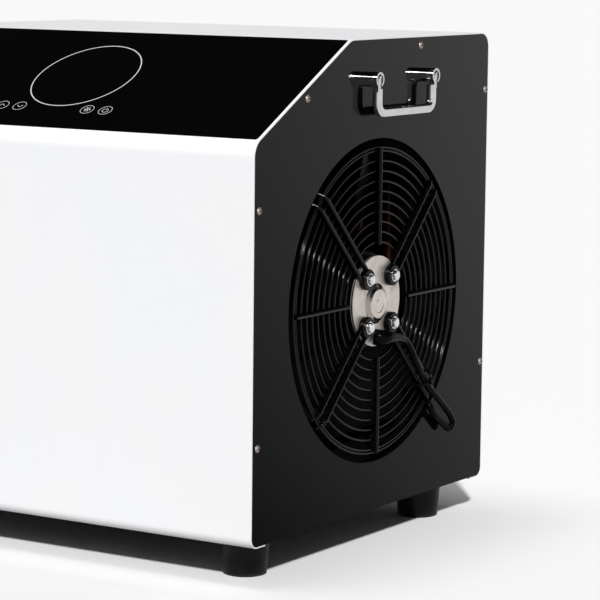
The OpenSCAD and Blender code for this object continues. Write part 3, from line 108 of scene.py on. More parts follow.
class Finish:
    """A material on Object coordinates, built up from layers of colour, gloss and relief."""

    def __init__(self, name, colour, roughness, metallic=0.0, **sockets):
        self.material = bpy.data.materials.new(name)
        self.material.use_nodes = True
        self.tree = self.material.node_tree
        self.tree.nodes.clear()
        values = {"Base Color": hex_colour(colour), "Metallic": metallic, "Roughness": roughness}
        values.update({socket.replace("_", " "): value for socket, value in sockets.items()})
        self.shader = add(self.tree, "BsdfPrincipled", values)
        add(self.tree, "OutputMaterial", links={"Surface": self.shader.outputs["BSDF"]})
        coordinates = add(self.tree, "TexCoord").outputs
        self.place = coordinates["Object"]
        self.normal = coordinates["Normal"]
        self.roughness = roughness
        self.colour = None
        self.relief = None

    def tint(self, factor, code):
        """Mixes another colour in by factor."""
        values = {"B": hex_colour(code)}
        links = {"Factor": factor}
        if self.colour is None:
            values["A"] = self.shader.inputs["Base Color"].default_value
        else:
            links["A"] = self.colour
        self.colour = add(self.tree, "Mix", values, links, data_type="RGBA").outputs["Result"]
        self.tree.links.new(self.colour, self.shader.inputs["Base Color"])

    def lift(self, source, depth_mm, strength=1.0):
        """Raises the surface by source, times depth_mm."""
        links = {"Height": source}
        if self.relief is not None:
            links["Normal"] = self.relief
        values = {"Strength": strength, "Distance": depth_mm * MM}
        self.relief = add(self.tree, "Bump", values, links).outputs["Normal"]
        self.tree.links.new(self.relief, self.shader.inputs["Normal"])

    def clouds(self, size_mm, code, most, detail=3.0, start=NOISE_START, end=NOISE_END):
        """Mixes another colour in, by up to most, in soft patches about size_mm wide."""
        noise = add(self.tree, "TexNoise", lumps(size_mm, detail), {"Vector": self.place})
        links = {"Value": noise.outputs["Fac"]}
        patches = add(self.tree, "MapRange", ramp(start, end, 0.0, most), links)
        self.tint(patches.outputs[0], code)

    def gloss(self, size_mm, swing, detail=3.0, place=None):
        """Varies the roughness by swing either way, in patches about size_mm wide."""
        links = {"Vector": place or self.place}
        noise = add(self.tree, "TexNoise", lumps(size_mm, detail), links)
        values = ramp(NOISE_START, NOISE_END, self.roughness - swing, self.roughness + swing)
        patches = add(self.tree, "MapRange", values, {"Value": noise.outputs["Fac"]})
        self.tree.links.new(patches.outputs[0], self.shader.inputs["Roughness"])

    def grain(self, size_mm, depth_mm, detail=2.0, strength=1.0, place=None):
        """Raises the surface in lumps about size_mm wide and depth_mm high."""
        links = {"Vector": place or self.place}
        noise = add(self.tree, "TexNoise", lumps(size_mm, detail), links)
        self.lift(noise.outputs["Fac"], depth_mm, strength)

    def painted_corner_shade(self, reach_mm, code, most):
        """Painted shade: darkens the colour in corners and round heads, up to reach_mm from them.
        """
        values = {"Distance": reach_mm * MM}
        shade = add(self.tree, "AmbientOcclusion", values, samples=4, only_local=True)
        links = {"Value": shade.outputs["AO"]}
        # Painted shade: the more a point is occluded, the more of the dark colour it takes
        corner_shade = add(self.tree, "MapRange", ramp(0.35, 0.95, most, 0.0), links)
        self.tint(corner_shade.outputs[0], code)


# Patterns have the sizes of the real finish. Only fine grain, such as that of platings, castings
# and moulded rubber, is drawn coarser, 0.4 to 1.5 mm wide, so that it shows in the render.


def white_powder_coat():
    """Polyester powder coat: a cool, almost smooth white, with painted shade darkening its faces
    inside the case.
    """
    f = Finish("white_powder_coat", "#F2F3F6", roughness=0.35, Specular_IOR_Level=0.3)
    f.clouds(160, "#F5F4F3", 0.5, detail=2)
    f.gloss(60, 0.02)
    # Orange peel about 2.5 mm across, as on a baked coat
    f.grain(2.5, 0.012, detail=1)
    # Painted shade in the coat's corners
    f.painted_corner_shade(5, "#C9C8C6", 0.35)
    # Painted shade on the faces inside the case: a face whose normal points towards the middle of
    # the case is an inner one
    middle = {1: (0, 0, CASE_CENTRE_Z * MM)}
    out = add(f.tree, "VectorMath", middle, {0: f.place}, operation="SUBTRACT")
    links = {0: out.outputs[0], 1: f.normal}
    side = add(f.tree, "VectorMath", links=links, operation="DOT_PRODUCT")
    inner = add(f.tree, "Math", {1: 0.0}, {0: side.outputs["Value"]}, operation="LESS_THAN")
    f.tint(inner.outputs[0], "#242424")
    return f.material


def gloss_black_enamel():
    """Black enamel on steel: a dark mirror, with a painted reflection that grows towards the upper
    rear corner, and with dust.
    """
    f = Finish("gloss_black_enamel", "#040404", roughness=0.08)
    spot = add(f.tree, "SeparateXYZ", links={"Vector": f.place}).outputs
    # Painted reflection, rising from the panel's foot to its top, and from its front edge to its
    # rear edge, in metres
    height = add(f.tree, "MapRange", ramp(0.06, 0.52, 0.0, 0.75), {"Value": spot["Z"]})
    depth = add(f.tree, "MapRange", ramp(-0.24, 0.21, 0.0, 0.35), {"Value": spot["Y"]})
    corner = add(f.tree, "Math", links={0: height.outputs[0], 1: depth.outputs[0]}, operation="ADD")
    # Painted reflection: the specular level rises towards the upper rear corner, so the panel looks
    # brighter there
    shine = add(f.tree, "MapRange", ramp(0.0, 1.1, 0.018, 0.168), {"Value": corner.outputs[0]})
    f.tree.links.new(shine.outputs[0], f.shader.inputs["Specular IOR Level"])
    f.clouds(120, "#0A0A0A", 0.3, detail=2)
    f.gloss(90, 0.03)
    f.grain(3, 0.004, detail=1)
    # One speck of dust in each 9 mm, drawn about 0.7 mm wide so that a few of them show
    specks = add(f.tree, "TexVoronoi", {"Scale": 1 / (9 * MM)}, {"Vector": f.place})
    links = {"Value": specks.outputs["Distance"]}
    dust = add(f.tree, "MapRange", ramp(0.02, 0.06, 0.25, 0.0), links)
    f.tint(dust.outputs[0], "#4E4C4A")
    return f.material


def black_wire_coat():
    """Black enamel on the guard's wire: deep and glossy, with thin bright lines on its crown."""
    f = Finish("black_wire_coat", "#030303", roughness=0.105, Specular_IOR_Level=0.12)
    f.clouds(30, "#060606", 0.7)
    f.gloss(12, 0.035)
    f.grain(0.9, 0.01)
    return f.material


def black_blade_coat():
    """Black coat on the pressed steel blades: a broad, soft sheen and a film of dust."""
    f = Finish("black_blade_coat", "#050505", roughness=0.36, Specular_IOR_Level=0.05)
    f.clouds(45, "#090909", 0.7, detail=4)
    f.gloss(25, 0.06)
    f.grain(1.2, 0.02)
    return f.material


def black_sheet_coat():
    """Black satin coat on the duct, the pan and the motor can: even and dull."""
    f = Finish("black_sheet_coat", "#070707", roughness=0.51, Specular_IOR_Level=0.2)
    f.clouds(50, "#0C0C0C", 0.6)
    f.gloss(20, 0.07)
    f.grain(1.0, 0.03)
    return f.material


def compressor_enamel():
    """Thick black enamel on the drawn cans: glossy, with runs and dull patches."""
    f = Finish("compressor_enamel", "#060607", roughness=0.29, Specular_IOR_Level=0.06)
    f.clouds(35, "#0E0E0D", 0.6, detail=4)
    f.gloss(18, 0.09)
    f.grain(4, 0.05)
    return f.material


def black_backed_glass():
    """Float glass printed black behind: a hard mirror shine over a depthless black."""
    f = Finish("black_backed_glass", "#020203", roughness=0.06, IOR=1.5)
    f.gloss(70, 0.03, detail=4)
    f.clouds(90, "#040404", 0.6)
    # Finger film left where the keys are touched
    f.grain(15, 0.002, detail=3)
    return f.material


def key_print():
    """Near white screen print on the glass: matt ink, slightly uneven."""
    f = Finish("key_print", "#D8D5D3", roughness=0.59)
    f.clouds(1.5, "#C9C5C3", 0.6)
    f.gloss(4, 0.09)
    f.grain(0.4, 0.01)
    return f.material


def cast_aluminium():
    """Die cast aluminium, faced on a lathe: warm, dull grey with rings and casting grain."""
    rim_back, groove_middle, groove_half = -3.2, -1.4, 0.6
    f = Finish("cast_aluminium", "#D3CCC6", metallic=0.75, roughness=0.43)
    f.clouds(9, "#B4ACA5", 0.55, detail=5)
    f.gloss(5, 0.09)
    # Lathe rings round the shaft, drawn 7.54 mm apart so that they show: real ones are finer
    centred = add(f.tree, "Mapping", {"Location": -at_fan(0, 0, 0)}, {"Vector": f.place})
    values = {"Scale": WAVE_LENGTH / (7.54 * MM), "Distortion": 1.5, "Detail": 2.0}
    values["Detail Scale"] = 30.0
    links = {"Vector": centred.outputs[0]}
    rings = add(f.tree, "TexWave", values, links, wave_type="RINGS", rings_direction="X")
    f.lift(rings.outputs["Fac"], 0.015, 0.5)
    f.grain(0.8, 0.05, detail=3, strength=0.6)
    # Painted shade in the plate's corners
    f.painted_corner_shade(4, "#4A4642", 0.6)
    # The back of the rim is drawn near black, and painted shade darkens the groove in front of it
    along = add(f.tree, "SeparateXYZ", links={"Vector": f.place}).outputs["X"]
    edge = {1: (FAN_CENTRE[0] + rim_back) * MM}
    back = add(f.tree, "Math", edge, {0: along}, operation="LESS_THAN")
    f.tint(back.outputs[0], "#060606")
    # Painted shade in the groove
    band = {1: (FAN_CENTRE[0] + groove_middle) * MM, 2: groove_half * MM}
    groove = add(f.tree, "Math", band, {0: along}, operation="COMPARE")
    f.tint(groove.outputs[0], "#0A0A0A")
    return f.material


def turned_aluminium():
    """Aluminium turned on a lathe: smooth and mirror-like, so its slopes run dark to bright."""
    face_foot = 3.2
    f = Finish("turned_aluminium", "#CFC6C0", metallic=1.0, roughness=0.22)
    f.clouds(8, "#B3AAA4", 0.5, detail=4)
    f.gloss(4, 0.06)
    f.grain(0.6, 0.006)
    # The slope is left as turned and is greyer than the polished face
    along = add(f.tree, "SeparateXYZ", links={"Vector": f.place}).outputs["X"]
    edge = {1: (FAN_CENTRE[0] + face_foot) * MM}
    slope = add(f.tree, "Math", edge, {0: along}, operation="LESS_THAN")
    f.tint(slope.outputs[0], "#9C9590")
    # Painted shade in the hub's corners
    f.painted_corner_shade(2, "#4A4642", 0.5)
    return f.material


def bright_zinc():
    """Bright zinc on steel bolts: pale, a little blue, cloudy, with painted shade in its recesses.
    """
    f = Finish("bright_zinc", "#E4E6E8", metallic=1.0, roughness=0.205)
    f.clouds(3, "#BDBAB5", 0.5, detail=4)
    f.gloss(2, 0.075)
    f.grain(0.5, 0.02)
    # Painted shade in the recesses of the heads and flanges
    f.painted_corner_shade(1.5, "#2B2724", 0.85)
    return f.material


def dull_nickel():
    """Dull nickel plate on the case screws: brownish grey, with painted shade in the cross
    recesses.
    """
    f = Finish("dull_nickel", "#A2958D", metallic=0.45, roughness=0.4)
    f.clouds(2, "#7C716A", 0.6, detail=4)
    f.gloss(2, 0.08)
    f.grain(0.5, 0.02)
    # Painted shade in the cross recesses and round the heads
    f.painted_corner_shade(1.6, "#17120F", 0.95)
    return f.material


def polished_chrome():
    """Chrome plate over polished steel: mirror bright, with hairlines along the bar."""
    f = Finish("polished_chrome", "#CDCDCC", metallic=1.0, roughness=0.095)
    f.clouds(12, "#B6B6B5", 0.4)
    # Hairlines 1.2 mm apart and 15 mm long, drawn coarse so that they show
    along_bar = add(f.tree, "Mapping", {"Scale": (1, 0.08, 1)}, {"Vector": f.place})
    f.gloss(1.2, 0.045, detail=2, place=along_bar.outputs[0])
    f.grain(6, 0.004)
    # Painted shade in the handle's corners
    f.painted_corner_shade(2, "#3A3836", 0.5)
    return f.material


def moulded_rubber():
    """Moulded black rubber: dull and grained, grey with dust where it meets the floor."""
    f = Finish("moulded_rubber", "#080808", roughness=0.51, Specular_IOR_Level=0.15)
    f.clouds(14, "#0D0C0C", 0.6, detail=4)
    f.gloss(8, 0.07)
    f.grain(0.7, 0.05, detail=3)
    # Dust in patches about 6 mm wide, up to 5 mm above the floor
    height = add(f.tree, "SeparateXYZ", links={"Vector": f.place}).outputs["Z"]
    fade = add(f.tree, "MapRange", ramp(0.0, 5 * MM, 0.4, 0.0), {"Value": height})
    noise = add(f.tree, "TexNoise", lumps(6, 4), {"Vector": f.place}).outputs["Fac"]
    patches = add(f.tree, "MapRange", ramp(NOISE_START, NOISE_END, 0.3, 1.0), {"Value": noise})
    links = {0: fade.outputs[0], 1: patches.outputs[0]}
    f.tint(add(f.tree, "Math", links=links, operation="MULTIPLY").outputs[0], "#3A3230")
    return f.material


def pvc_sheath():
    """Black PVC cable sheath: soft shine with slight lumps of the cores under it."""
    f = Finish("pvc_sheath", "#040404", roughness=0.22, Specular_IOR_Level=0.04)
    f.clouds(10, "#080808", 0.6)
    f.gloss(6, 0.06)
    f.grain(5, 0.08)
    return f.material


def black_nylon():
    """Black nylon of the cable tie: smooth, deep black, with a slight sheen."""
    f = Finish("black_nylon", "#050505", roughness=0.31, Specular_IOR_Level=0.06)
    f.clouds(6, "#0A0A0A", 0.6)
    f.gloss(3, 0.07)
    f.grain(0.8, 0.02)
    return f.material


def grained_black_plastic():
    """Moulded black polypropylene: spark grain and a low, even sheen."""
    f = Finish("grained_black_plastic", "#0C0C0D", roughness=0.49, Specular_IOR_Level=0.2)
    f.clouds(25, "#141313", 0.6)
    f.gloss(10, 0.07)
    f.grain(0.8, 0.04)
    return f.material


def white_pvc():
    """White PVC pipe: clean and slightly yellow, with extrusion lines."""
    f = Finish("white_pvc", "#DEDCD4", roughness=0.4)
    f.clouds(20, "#D2CEC3", 0.5)
    f.gloss(8, 0.06)
    along_pipe = add(f.tree, "Mapping", {"Scale": (1, 0.05, 1)}, {"Vector": f.place})
    f.grain(1.5, 0.02, place=along_pipe.outputs[0])
    return f.material


def fin_sheet():
    """Thin aluminium fins: bright sheet with painted shade in the gaps across the pack."""
    f = Finish("fin_sheet", "#B9BDC0", metallic=1.0, roughness=0.4)
    f.gloss(12, 0.1)
    # Painted shade in the gaps between fins, drawn 11.31 mm apart so that they show: real fins are
    # about 1.8 mm apart
    values = {"Scale": WAVE_LENGTH / (11.31 * MM), "Distortion": 0.4, "Detail": 1.0}
    waves = add(f.tree, "TexWave", values, {"Vector": f.place}, bands_direction="Y").outputs["Fac"]
    gaps = add(f.tree, "MapRange", ramp(0.1, 0.5, 0.85, 0.0), {"Value": waves})
    f.tint(gaps.outputs[0], "#26282A")
    f.lift(waves, 0.3)
    return f.material


def drawn_copper():
    """Drawn copper tube: warm, and browned almost black in patches by brazing heat."""
    f = Finish("drawn_copper", "#6A3C20", metallic=1.0, roughness=0.39)
    f.clouds(30, "#170D08", 1.0, detail=4, start=0.42, end=0.56)
    f.gloss(10, 0.11)
    f.grain(2, 0.02)
    return f.material


def winding_enamel():
    """Enamelled copper wire, wound and varnished: dark amber, with turns 0.9 mm apart."""
    f = Finish("winding_enamel", "#8A4A22", metallic=0.6, roughness=0.39)
    f.clouds(5, "#5A2E16", 0.7, detail=4)
    f.gloss(3, 0.11)
    f.grain(0.9, 0.1)
    return f.material


def solder_resist():
    """Green solder resist over copper tracks: glossy film with the tracks just raised."""
    f = Finish("solder_resist", "#1F5A35", roughness=0.32)
    f.clouds(6, "#174428", 0.7, detail=4)
    f.gloss(4, 0.08)
    f.grain(2, 0.03, detail=1)
    return f.material


def galvanised_steel():
    """Hot dip galvanised sheet: grey spangle of crystals about 8 mm across."""
    f = Finish("galvanised_steel", "#A9ADB0", metallic=0.9, roughness=0.445)
    crystals = add(f.tree, "TexVoronoi", {"Scale": 1 / (8 * MM)}, {"Vector": f.place})
    links = {"Value": crystals.outputs["Distance"]}
    spangle = add(f.tree, "MapRange", ramp(0.0, 0.7, 0.0, 0.6), links)
    f.tint(spangle.outputs[0], "#8A8E92")
    f.gloss(8, 0.105)
    f.grain(1.5, 0.02)
    return f.material


WHITE = white_powder_coat()
GLOSS_BLACK = gloss_black_enamel()
WIRE = black_wire_coat()
BLADE = black_blade_coat()
SHEET = black_sheet_coat()
CAN = compressor_enamel()
GLASS = black_backed_glass()
PRINT = key_print()
CAST = cast_aluminium()
TURNED = turned_aluminium()
ZINC = bright_zinc()
NICKEL = dull_nickel()
CHROME = polished_chrome()
RUBBER = moulded_rubber()
SHEATH = pvc_sheath()
NYLON = black_nylon()
PLASTIC = grained_black_plastic()
PVC = white_pvc()
FINS = fin_sheet()
COPPER = drawn_copper()
WINDING = winding_enamel()
RESIST = solder_resist()
GALVANISED = galvanised_steel()

# The finish of every CAD node
FINISHED_NODES = (
    (WHITE, "front_cover rear_panel"),
    (GLOSS_BLACK, "right_panel left_panel"),
    (SHEET, "base_pan fan_duct rotor_can"),
    (WIRE, "fan_guard"),
    (BLADE, "fan_blades"),
    (CAN, "compressor accumulator"),
    (GLASS, "control_glass"),
    (CAST, "motor_plate"),
    (ZINC, "foot_bolts foot_nuts compressor_bolts motor_bolts motor_bearings rotor_shaft"),
    (ZINC, "right_handle_pins left_handle_pins handle_screws"),
    (NICKEL, "right_panel_screws left_panel_screws rear_screws"),
    (CHROME, "right_handle_posts right_bail left_handle_posts left_bail"),
    (RUBBER, "foot_front_left foot_front_right foot_rear_left foot_rear_right"),
    (RUBBER, "compressor_mounts"),
    (SHEATH, "fan_cable"),
    (NYLON, "cable_tie"),
    (PLASTIC, "display_carrier motor_gland compressor_cap evaporator_barrel evaporator_lid"),
    (PLASTIC, "water_inlet water_outlet water_nuts electric_box electric_lid mains_gland"),
    (PVC, "water_pipes"),
    (FINS, "condenser_fins"),
    (COPPER, "condenser_tubes filter_drier discharge_pipe liquid_pipe suction_pipe"),
    (WINDING, "motor_windings"),
    (RESIST, "display_board"),
    (GALVANISED, "motor_stator condenser_frame run_capacitor"),
)
for node_finish, node_names in FINISHED_NODES:
    for node_name in node_names.split():
        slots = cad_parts[node_name].data.materials
        if len(slots) == 0:
            slots.append(node_finish)
        for i in range(len(slots)):
            slots[i] = node_finish

# ---------------------------------------------------------------- modelling


def deselect():
    """Deselects every object, so that an operator acts on nothing by chance."""
    bpy.ops.object.select_all(action="DESELECT")


def pick(piece):
    """Selects one piece alone and makes it active."""
    deselect()
    piece.select_set(True)
    bpy.context.view_layer.objects.active = piece


def edit(piece):
    """Opens a piece in edit mode with all of it selected."""
    pick(piece)
    bpy.ops.object.mode_set(mode="EDIT")
    bpy.ops.mesh.select_all(action="SELECT")


def apply_place(piece):
    """Puts a piece's place, turn and scale in its mesh."""
    pick(piece)
    bpy.ops.object.transform_apply(location=True, rotation=True, scale=True)


def settle(piece, name, finish, body, smooth=None):
    """Names a finished piece, puts its place in its mesh and lets it ride on its body."""
    apply_place(piece)
    if smooth:
        bpy.ops.object.shade_smooth_by_angle(angle=math.radians(smooth))
    piece.name = name
    piece.data.name = name
    piece.data.materials.clear()
    piece.data.materials.append(finish)
    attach(piece, body)
    return piece


def modify(piece, kind, **settings):
    """Adds a modifier and applies it."""
    modifier = piece.modifiers.new(kind.lower(), kind)
    for name, value in settings.items():
        setattr(modifier, name, value)
    bpy.context.view_layer.objects.active = piece
    bpy.ops.object.modifier_apply(modifier=modifier.name)


def join(pieces):
    """Joins several pieces into the first."""
    deselect()
    for piece in pieces:
        piece.select_set(True)
    bpy.context.view_layer.objects.active = pieces[0]
    bpy.ops.object.join()
    return pieces[0]


# Printed display ring and touch keys on the glass, in millimetres. A ring is an inner and an
# outer radius, and a place is across and up the slope.
INK = 0.1
INK_MIDDLE = 0.6 * INK
STROKE = 0.6
CORNER_SHARE = 0.35
ARC_OVERLAP = 1.3
DISPLAY_S = 108.0
DISPLAY_RING = (57.75, 58.85)
KEY_S = 45.6
KEY_RING = (7.05, 7.55)
KEY_XS = tuple(DISPLAY_X + x for x in (-64.5, -42.3, 42.3, 64.5))
UP_X, DOWN_X, COOLING_X, POWER_X = KEY_XS


def printed_ring(x, s, inner, outer, steps):
    """Flat ring of ink on the glass."""
    deselect()
    place = on_glass(x, s, INK_MIDDLE)
    bpy.ops.mesh.primitive_circle_add(
        vertices=steps, radius=inner * MM, location=place, rotation=(SLOPE_A, 0, 0)
    )
    ring = bpy.context.object
    edit(ring)
    bpy.ops.mesh.extrude_edges_move()
    bpy.ops.transform.resize(value=(outer / inner,) * 3, center_override=place)
    bpy.ops.object.mode_set(mode="OBJECT")
    modify(ring, "SOLIDIFY", thickness=INK * MM, offset=0.0)
    return ring


def printed_bar(x, s, length, width, angle):
    """Round-cornered stroke of ink on the glass, centred at x and s and turned by angle."""
    deselect()
    bpy.ops.mesh.primitive_plane_add(size=1, location=(0, 0, 0))
    bar = bpy.context.object
    edit(bar)
    bpy.ops.transform.resize(value=(length * MM, width * MM, 1), center_override=(0, 0, 0))
    bpy.ops.mesh.bevel(offset=width * MM * CORNER_SHARE, segments=3, affect="VERTICES")
    bpy.ops.object.mode_set(mode="OBJECT")
    modify(bar, "SOLIDIFY", thickness=INK * MM, offset=0.0)
    turn = Matrix.Rotation(SLOPE_A, 4, "X") @ Matrix.Rotation(math.radians(angle), 4, "Z")
    bar.matrix_world = Matrix.Translation(on_glass(x, s, INK_MIDDLE)) @ turn
    return bar


def printed_arc(x, s, radius, width, first, last, steps=20):
    """Open arc of overlapping strokes on the glass, from first to last degrees."""
    strokes = []
    length = radius * math.radians(abs(last - first)) / steps * ARC_OVERLAP
    for k in range(steps):
        a = math.radians(first + (last - first) * (k + 0.5) / steps)
        across = x + radius * math.cos(a)
        up = s + radius * math.sin(a)
        strokes.append(printed_bar(across, up, length, width, math.degrees(a) + 90))
    return strokes


display_ring = printed_ring(DISPLAY_X, DISPLAY_S, *DISPLAY_RING, steps=160)
settle(display_ring, "display_ring", PRINT, "case")

marks = [printed_ring(x, KEY_S, *KEY_RING, steps=48) for x in KEY_XS]
# Arrow up and arrow down, each with two arms
for x, way in ((UP_X, 1), (DOWN_X, -1)):
    for side in (-1, 1):
        arm = (x + side * 1.7, KEY_S + way * 0.4)
        marks.append(printed_bar(*arm, 5.0, STROKE, -side * way * 45))
# Cooling star, three bars with a short bar across each end
for angle in (0, 60, 120):
    marks.append(printed_bar(COOLING_X, KEY_S, 8.4, 0.5, angle))
    for end in (-2.9, 2.9):
        a = math.radians(angle)
        tip = (COOLING_X + end * math.cos(a), KEY_S + end * math.sin(a))
        marks.append(printed_bar(*tip, 2.4, 0.45, angle + 90))
# Power mark, an arc open at the top with a bar in its gap
marks += printed_arc(POWER_X, KEY_S - 0.2, 3.3, STROKE, 125, 415)
marks.append(printed_bar(POWER_X, KEY_S + 2.7, 3.4, STROKE, 90))
settle(join(marks), "touch_keys", PRINT, "case")

# Motor bolts with chamfered heads and flanges, on bushes round the guard's eyelets. Each form
# is a radius and a height, in millimetres, and stands on the one before it.
BUSH = (10.8, 6.6)
FLANGE = (6.6, 1.1)
HEAD = (5.55, 2.6)
CROWN = (4.1, 0.9)
SHANK = (2.95, 8.0)
BUSH_FOOT = 0.1
CROWN_SINK = 0.5
HEAD_FOOT = BUSH[1] + FLANGE[1]
CROWN_FOOT = HEAD_FOOT + HEAD[1] - CROWN_SINK
# Half the side of the square that the bolts stand in, and the degrees that turn a bolt one way
# or the other for its side in Y and in Z
BOLT_HALF_SQUARE = 24.25
BOLT_TURN = (17, 31)


def disc(radius, foot, height, bevel, sides):
    """Bevelled disc or hexagon on the fan's axis, its foot measured from the panel's face."""
    deselect()
    bpy.ops.mesh.primitive_cylinder_add(
        vertices=sides,
        radius=radius * MM,
        depth=height * MM,
        location=at_fan(foot + height / 2, 0, 0),
        rotation=(0, math.pi / 2, 0),
    )
    piece = bpy.context.object
    edit(piece)
    bpy.ops.mesh.select_all(action="DESELECT")
    bpy.ops.object.mode_set(mode="OBJECT")
    for polygon in piece.data.polygons:
        polygon.select = polygon.normal.z > 0.9
    bpy.ops.object.mode_set(mode="EDIT")
    bpy.ops.mesh.inset(thickness=bevel * MM)
    bpy.ops.object.mode_set(mode="OBJECT")
    edge = {"limit_method": "ANGLE", "angle_limit": math.radians(50)}
    modify(piece, "BEVEL", width=bevel * MM, segments=3, **edge)
    return piece


def at_bolts(first):
    """Four copies of a piece on the fan's axis, one at each motor bolt, each turned its own way."""
    centre = at_fan(0, 0, 0)
    to_axis = Matrix.Translation(-centre) @ first.matrix_world
    copies = []
    for y, z in ((-1, -1), (-1, 1), (1, -1), (1, 1)):
        copy = first.copy()
        copy.data = first.data.copy()
        bpy.context.collection.objects.link(copy)
        turn = Matrix.Rotation(math.radians(BOLT_TURN[0] * y + BOLT_TURN[1] * z), 4, "X")
        shift = Vector((0, y * BOLT_HALF_SQUARE, z * BOLT_HALF_SQUARE)) * MM
        copy.matrix_world = Matrix.Translation(centre + shift) @ turn @ to_axis
        apply_place(copy)
        copies.append(copy)
    bpy.data.objects.remove(first)
    return join(copies)


bolt_parts = [
    disc(FLANGE[0], BUSH[1], FLANGE[1], bevel=0.3, sides=40),
    disc(HEAD[0], HEAD_FOOT, HEAD[1], bevel=0.5, sides=6),
    disc(CROWN[0], CROWN_FOOT, CROWN[1], bevel=0.3, sides=32),
    disc(SHANK[0], -SHANK[1], BUSH[1] + SHANK[1], bevel=0.2, sides=24),
]
bolts = at_bolts(join(bolt_parts))
settle(bolts, "motor_bolt_set", ZINC, "case", smooth=35)
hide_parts("motor_bolts")
bushes = at_bolts(disc(BUSH[0], BUSH_FOOT, BUSH[1] - BUSH_FOOT, bevel=1.2, sides=48))
settle(bushes, "eyelet_bushes", WIRE, "case", smooth=35)

# Raised hub of the motor plate: a low cone with a turned face. Each point of its half outline
# is how far it stands proud of the panel's face, and its radius, in millimetres.
HUB_OUTLINE = (
    (-1.9, 0.0),
    (-1.9, 20.4),
    (-0.1, 20.8),
    (0.4, 20.2),
    (1.2, 18.0),
    (2.2, 16.2),
    (3.3, 15.0),
    (3.7, 14.6),
    (3.8, 14.2),
    (3.8, 9.4),
    (3.4, 8.9),
    (3.4, 4.4),
    (3.7, 4.0),
    (3.7, 0.0),
)
# The hub's axis from the fan's
HUB_Y = -0.9
HUB_Z = -2.7
hub_points = [at_fan(x, HUB_Y, r + HUB_Z) for x, r in HUB_OUTLINE]
hub_mesh = bpy.data.meshes.new("hub_outline")
hub_mesh.from_pydata(hub_points, [(i, i + 1) for i in range(len(hub_points) - 1)], [])
hub = bpy.data.objects.new("motor_hub", hub_mesh)
bpy.context.collection.objects.link(hub)
edit(hub)
bpy.ops.mesh.spin(steps=72, angle=math.tau, center=at_fan(0, HUB_Y, HUB_Z), axis=(1, 0, 0))
bpy.ops.mesh.select_all(action="SELECT")
bpy.ops.mesh.remove_doubles(threshold=0.02 * MM)
bpy.ops.mesh.normals_make_consistent(inside=False)
bpy.ops.object.mode_set(mode="OBJECT")
settle(hub, "motor_hub", TURNED, "case", smooth=25)

# Motor cable and the boot that turns it off the motor plate, as points from the fan's centre.
# It follows the CAD's cable, with smoother corners.
CABLE_RADIUS = 3.5
CABLE_ROUTE = (
    # From the boot along the guard, round the loop and back under the tie
    (8.5, 6, -37), (8.5, 18, -37.4), (8.8, 32, -40), (9, 44, -44.5), (9, 54, -53.5),
    (9, 66, -69), (9, 80, -86.5), (9, 93, -99), (9.5, 111, -113), (10, 130, -128),
    (10.5, 140.5, -138.5), (10.5, 143.5, -146), (9, 140, -150.5), (7.5, 133, -147),
    (6.5, 121, -138.5), (5.5, 110, -130.5),
    # Into the duct
    (3, 106.5, -122), (-3, 110, -117), (-8, 113, -114.5), (-20, 113.5, -113.5),
    (-66, 113.5, -113.5),
    # Down behind the duct, along the pan and up to the electric box
    (-76, 113.5, -118), (-84, 112, -135), (-87, 110, -165), (-89, 104, -190.7),
    (-90, 90, -204.7), (-90, 70, -209.7), (-90, -160, -209.7), (-90, -180, -204.7),
    (-90, -190, -185.7), (-90, -190, -14.8),
)
BOOT_ROUTE = (
    (0.4, -1.0, -37), (4.0, -0.2, -37), (7.6, 4.0, -37.2), (8.8, 11, -37.6),
    (9, 20, -38.8), (9, 31, -40.5), (9, 42, -43.8),
)
BOOT_RADII = (8.4, 8.2, 7.8, 6.9, 5.9, 4.9, 3.9)


def sheathed_run(name, points, radii, steps):
    """Round tube along a smooth curve, with a radius at each point, in millimetres."""
    curve = bpy.data.curves.new(name, "CURVE")
    curve.dimensions = "3D"
    curve.bevel_depth = MM
    curve.bevel_resolution = 5
    curve.resolution_u = steps
    curve.use_fill_caps = True
    spline = curve.splines.new("BEZIER")
    spline.bezier_points.add(len(points) - 1)
    for knot, point, radius in zip(spline.bezier_points, points, radii):
        knot.co = at_fan(*point)
        knot.radius = radius
        knot.handle_left_type = "AUTO"
        knot.handle_right_type = "AUTO"
    run = bpy.data.objects.new(name, curve)
    bpy.context.collection.objects.link(run)
    pick(run)
    bpy.ops.object.convert(target="MESH")
    return bpy.context.object


cable = sheathed_run("motor_cable", CABLE_ROUTE, [CABLE_RADIUS] * len(CABLE_ROUTE), 8)
settle(cable, "motor_cable", SHEATH, "case", smooth=40)
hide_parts("fan_cable")
boot = sheathed_run("cable_boot", BOOT_ROUTE, BOOT_RADII, 10)
settle(boot, "cable_boot", SHEATH, "case", smooth=40)
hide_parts("motor_gland")

# ---------------------------------------------------------------- floor, lights and camera

deselect()
bpy.ops.mesh.primitive_plane_add(size=80, location=(0, 0, 0))
floor = bpy.context.object
floor.name = "floor"

floor_material = bpy.data.materials.new("pale_studio_floor")
floor_material.use_nodes = True
floor_tree = floor_material.node_tree
floor_tree.nodes.clear()
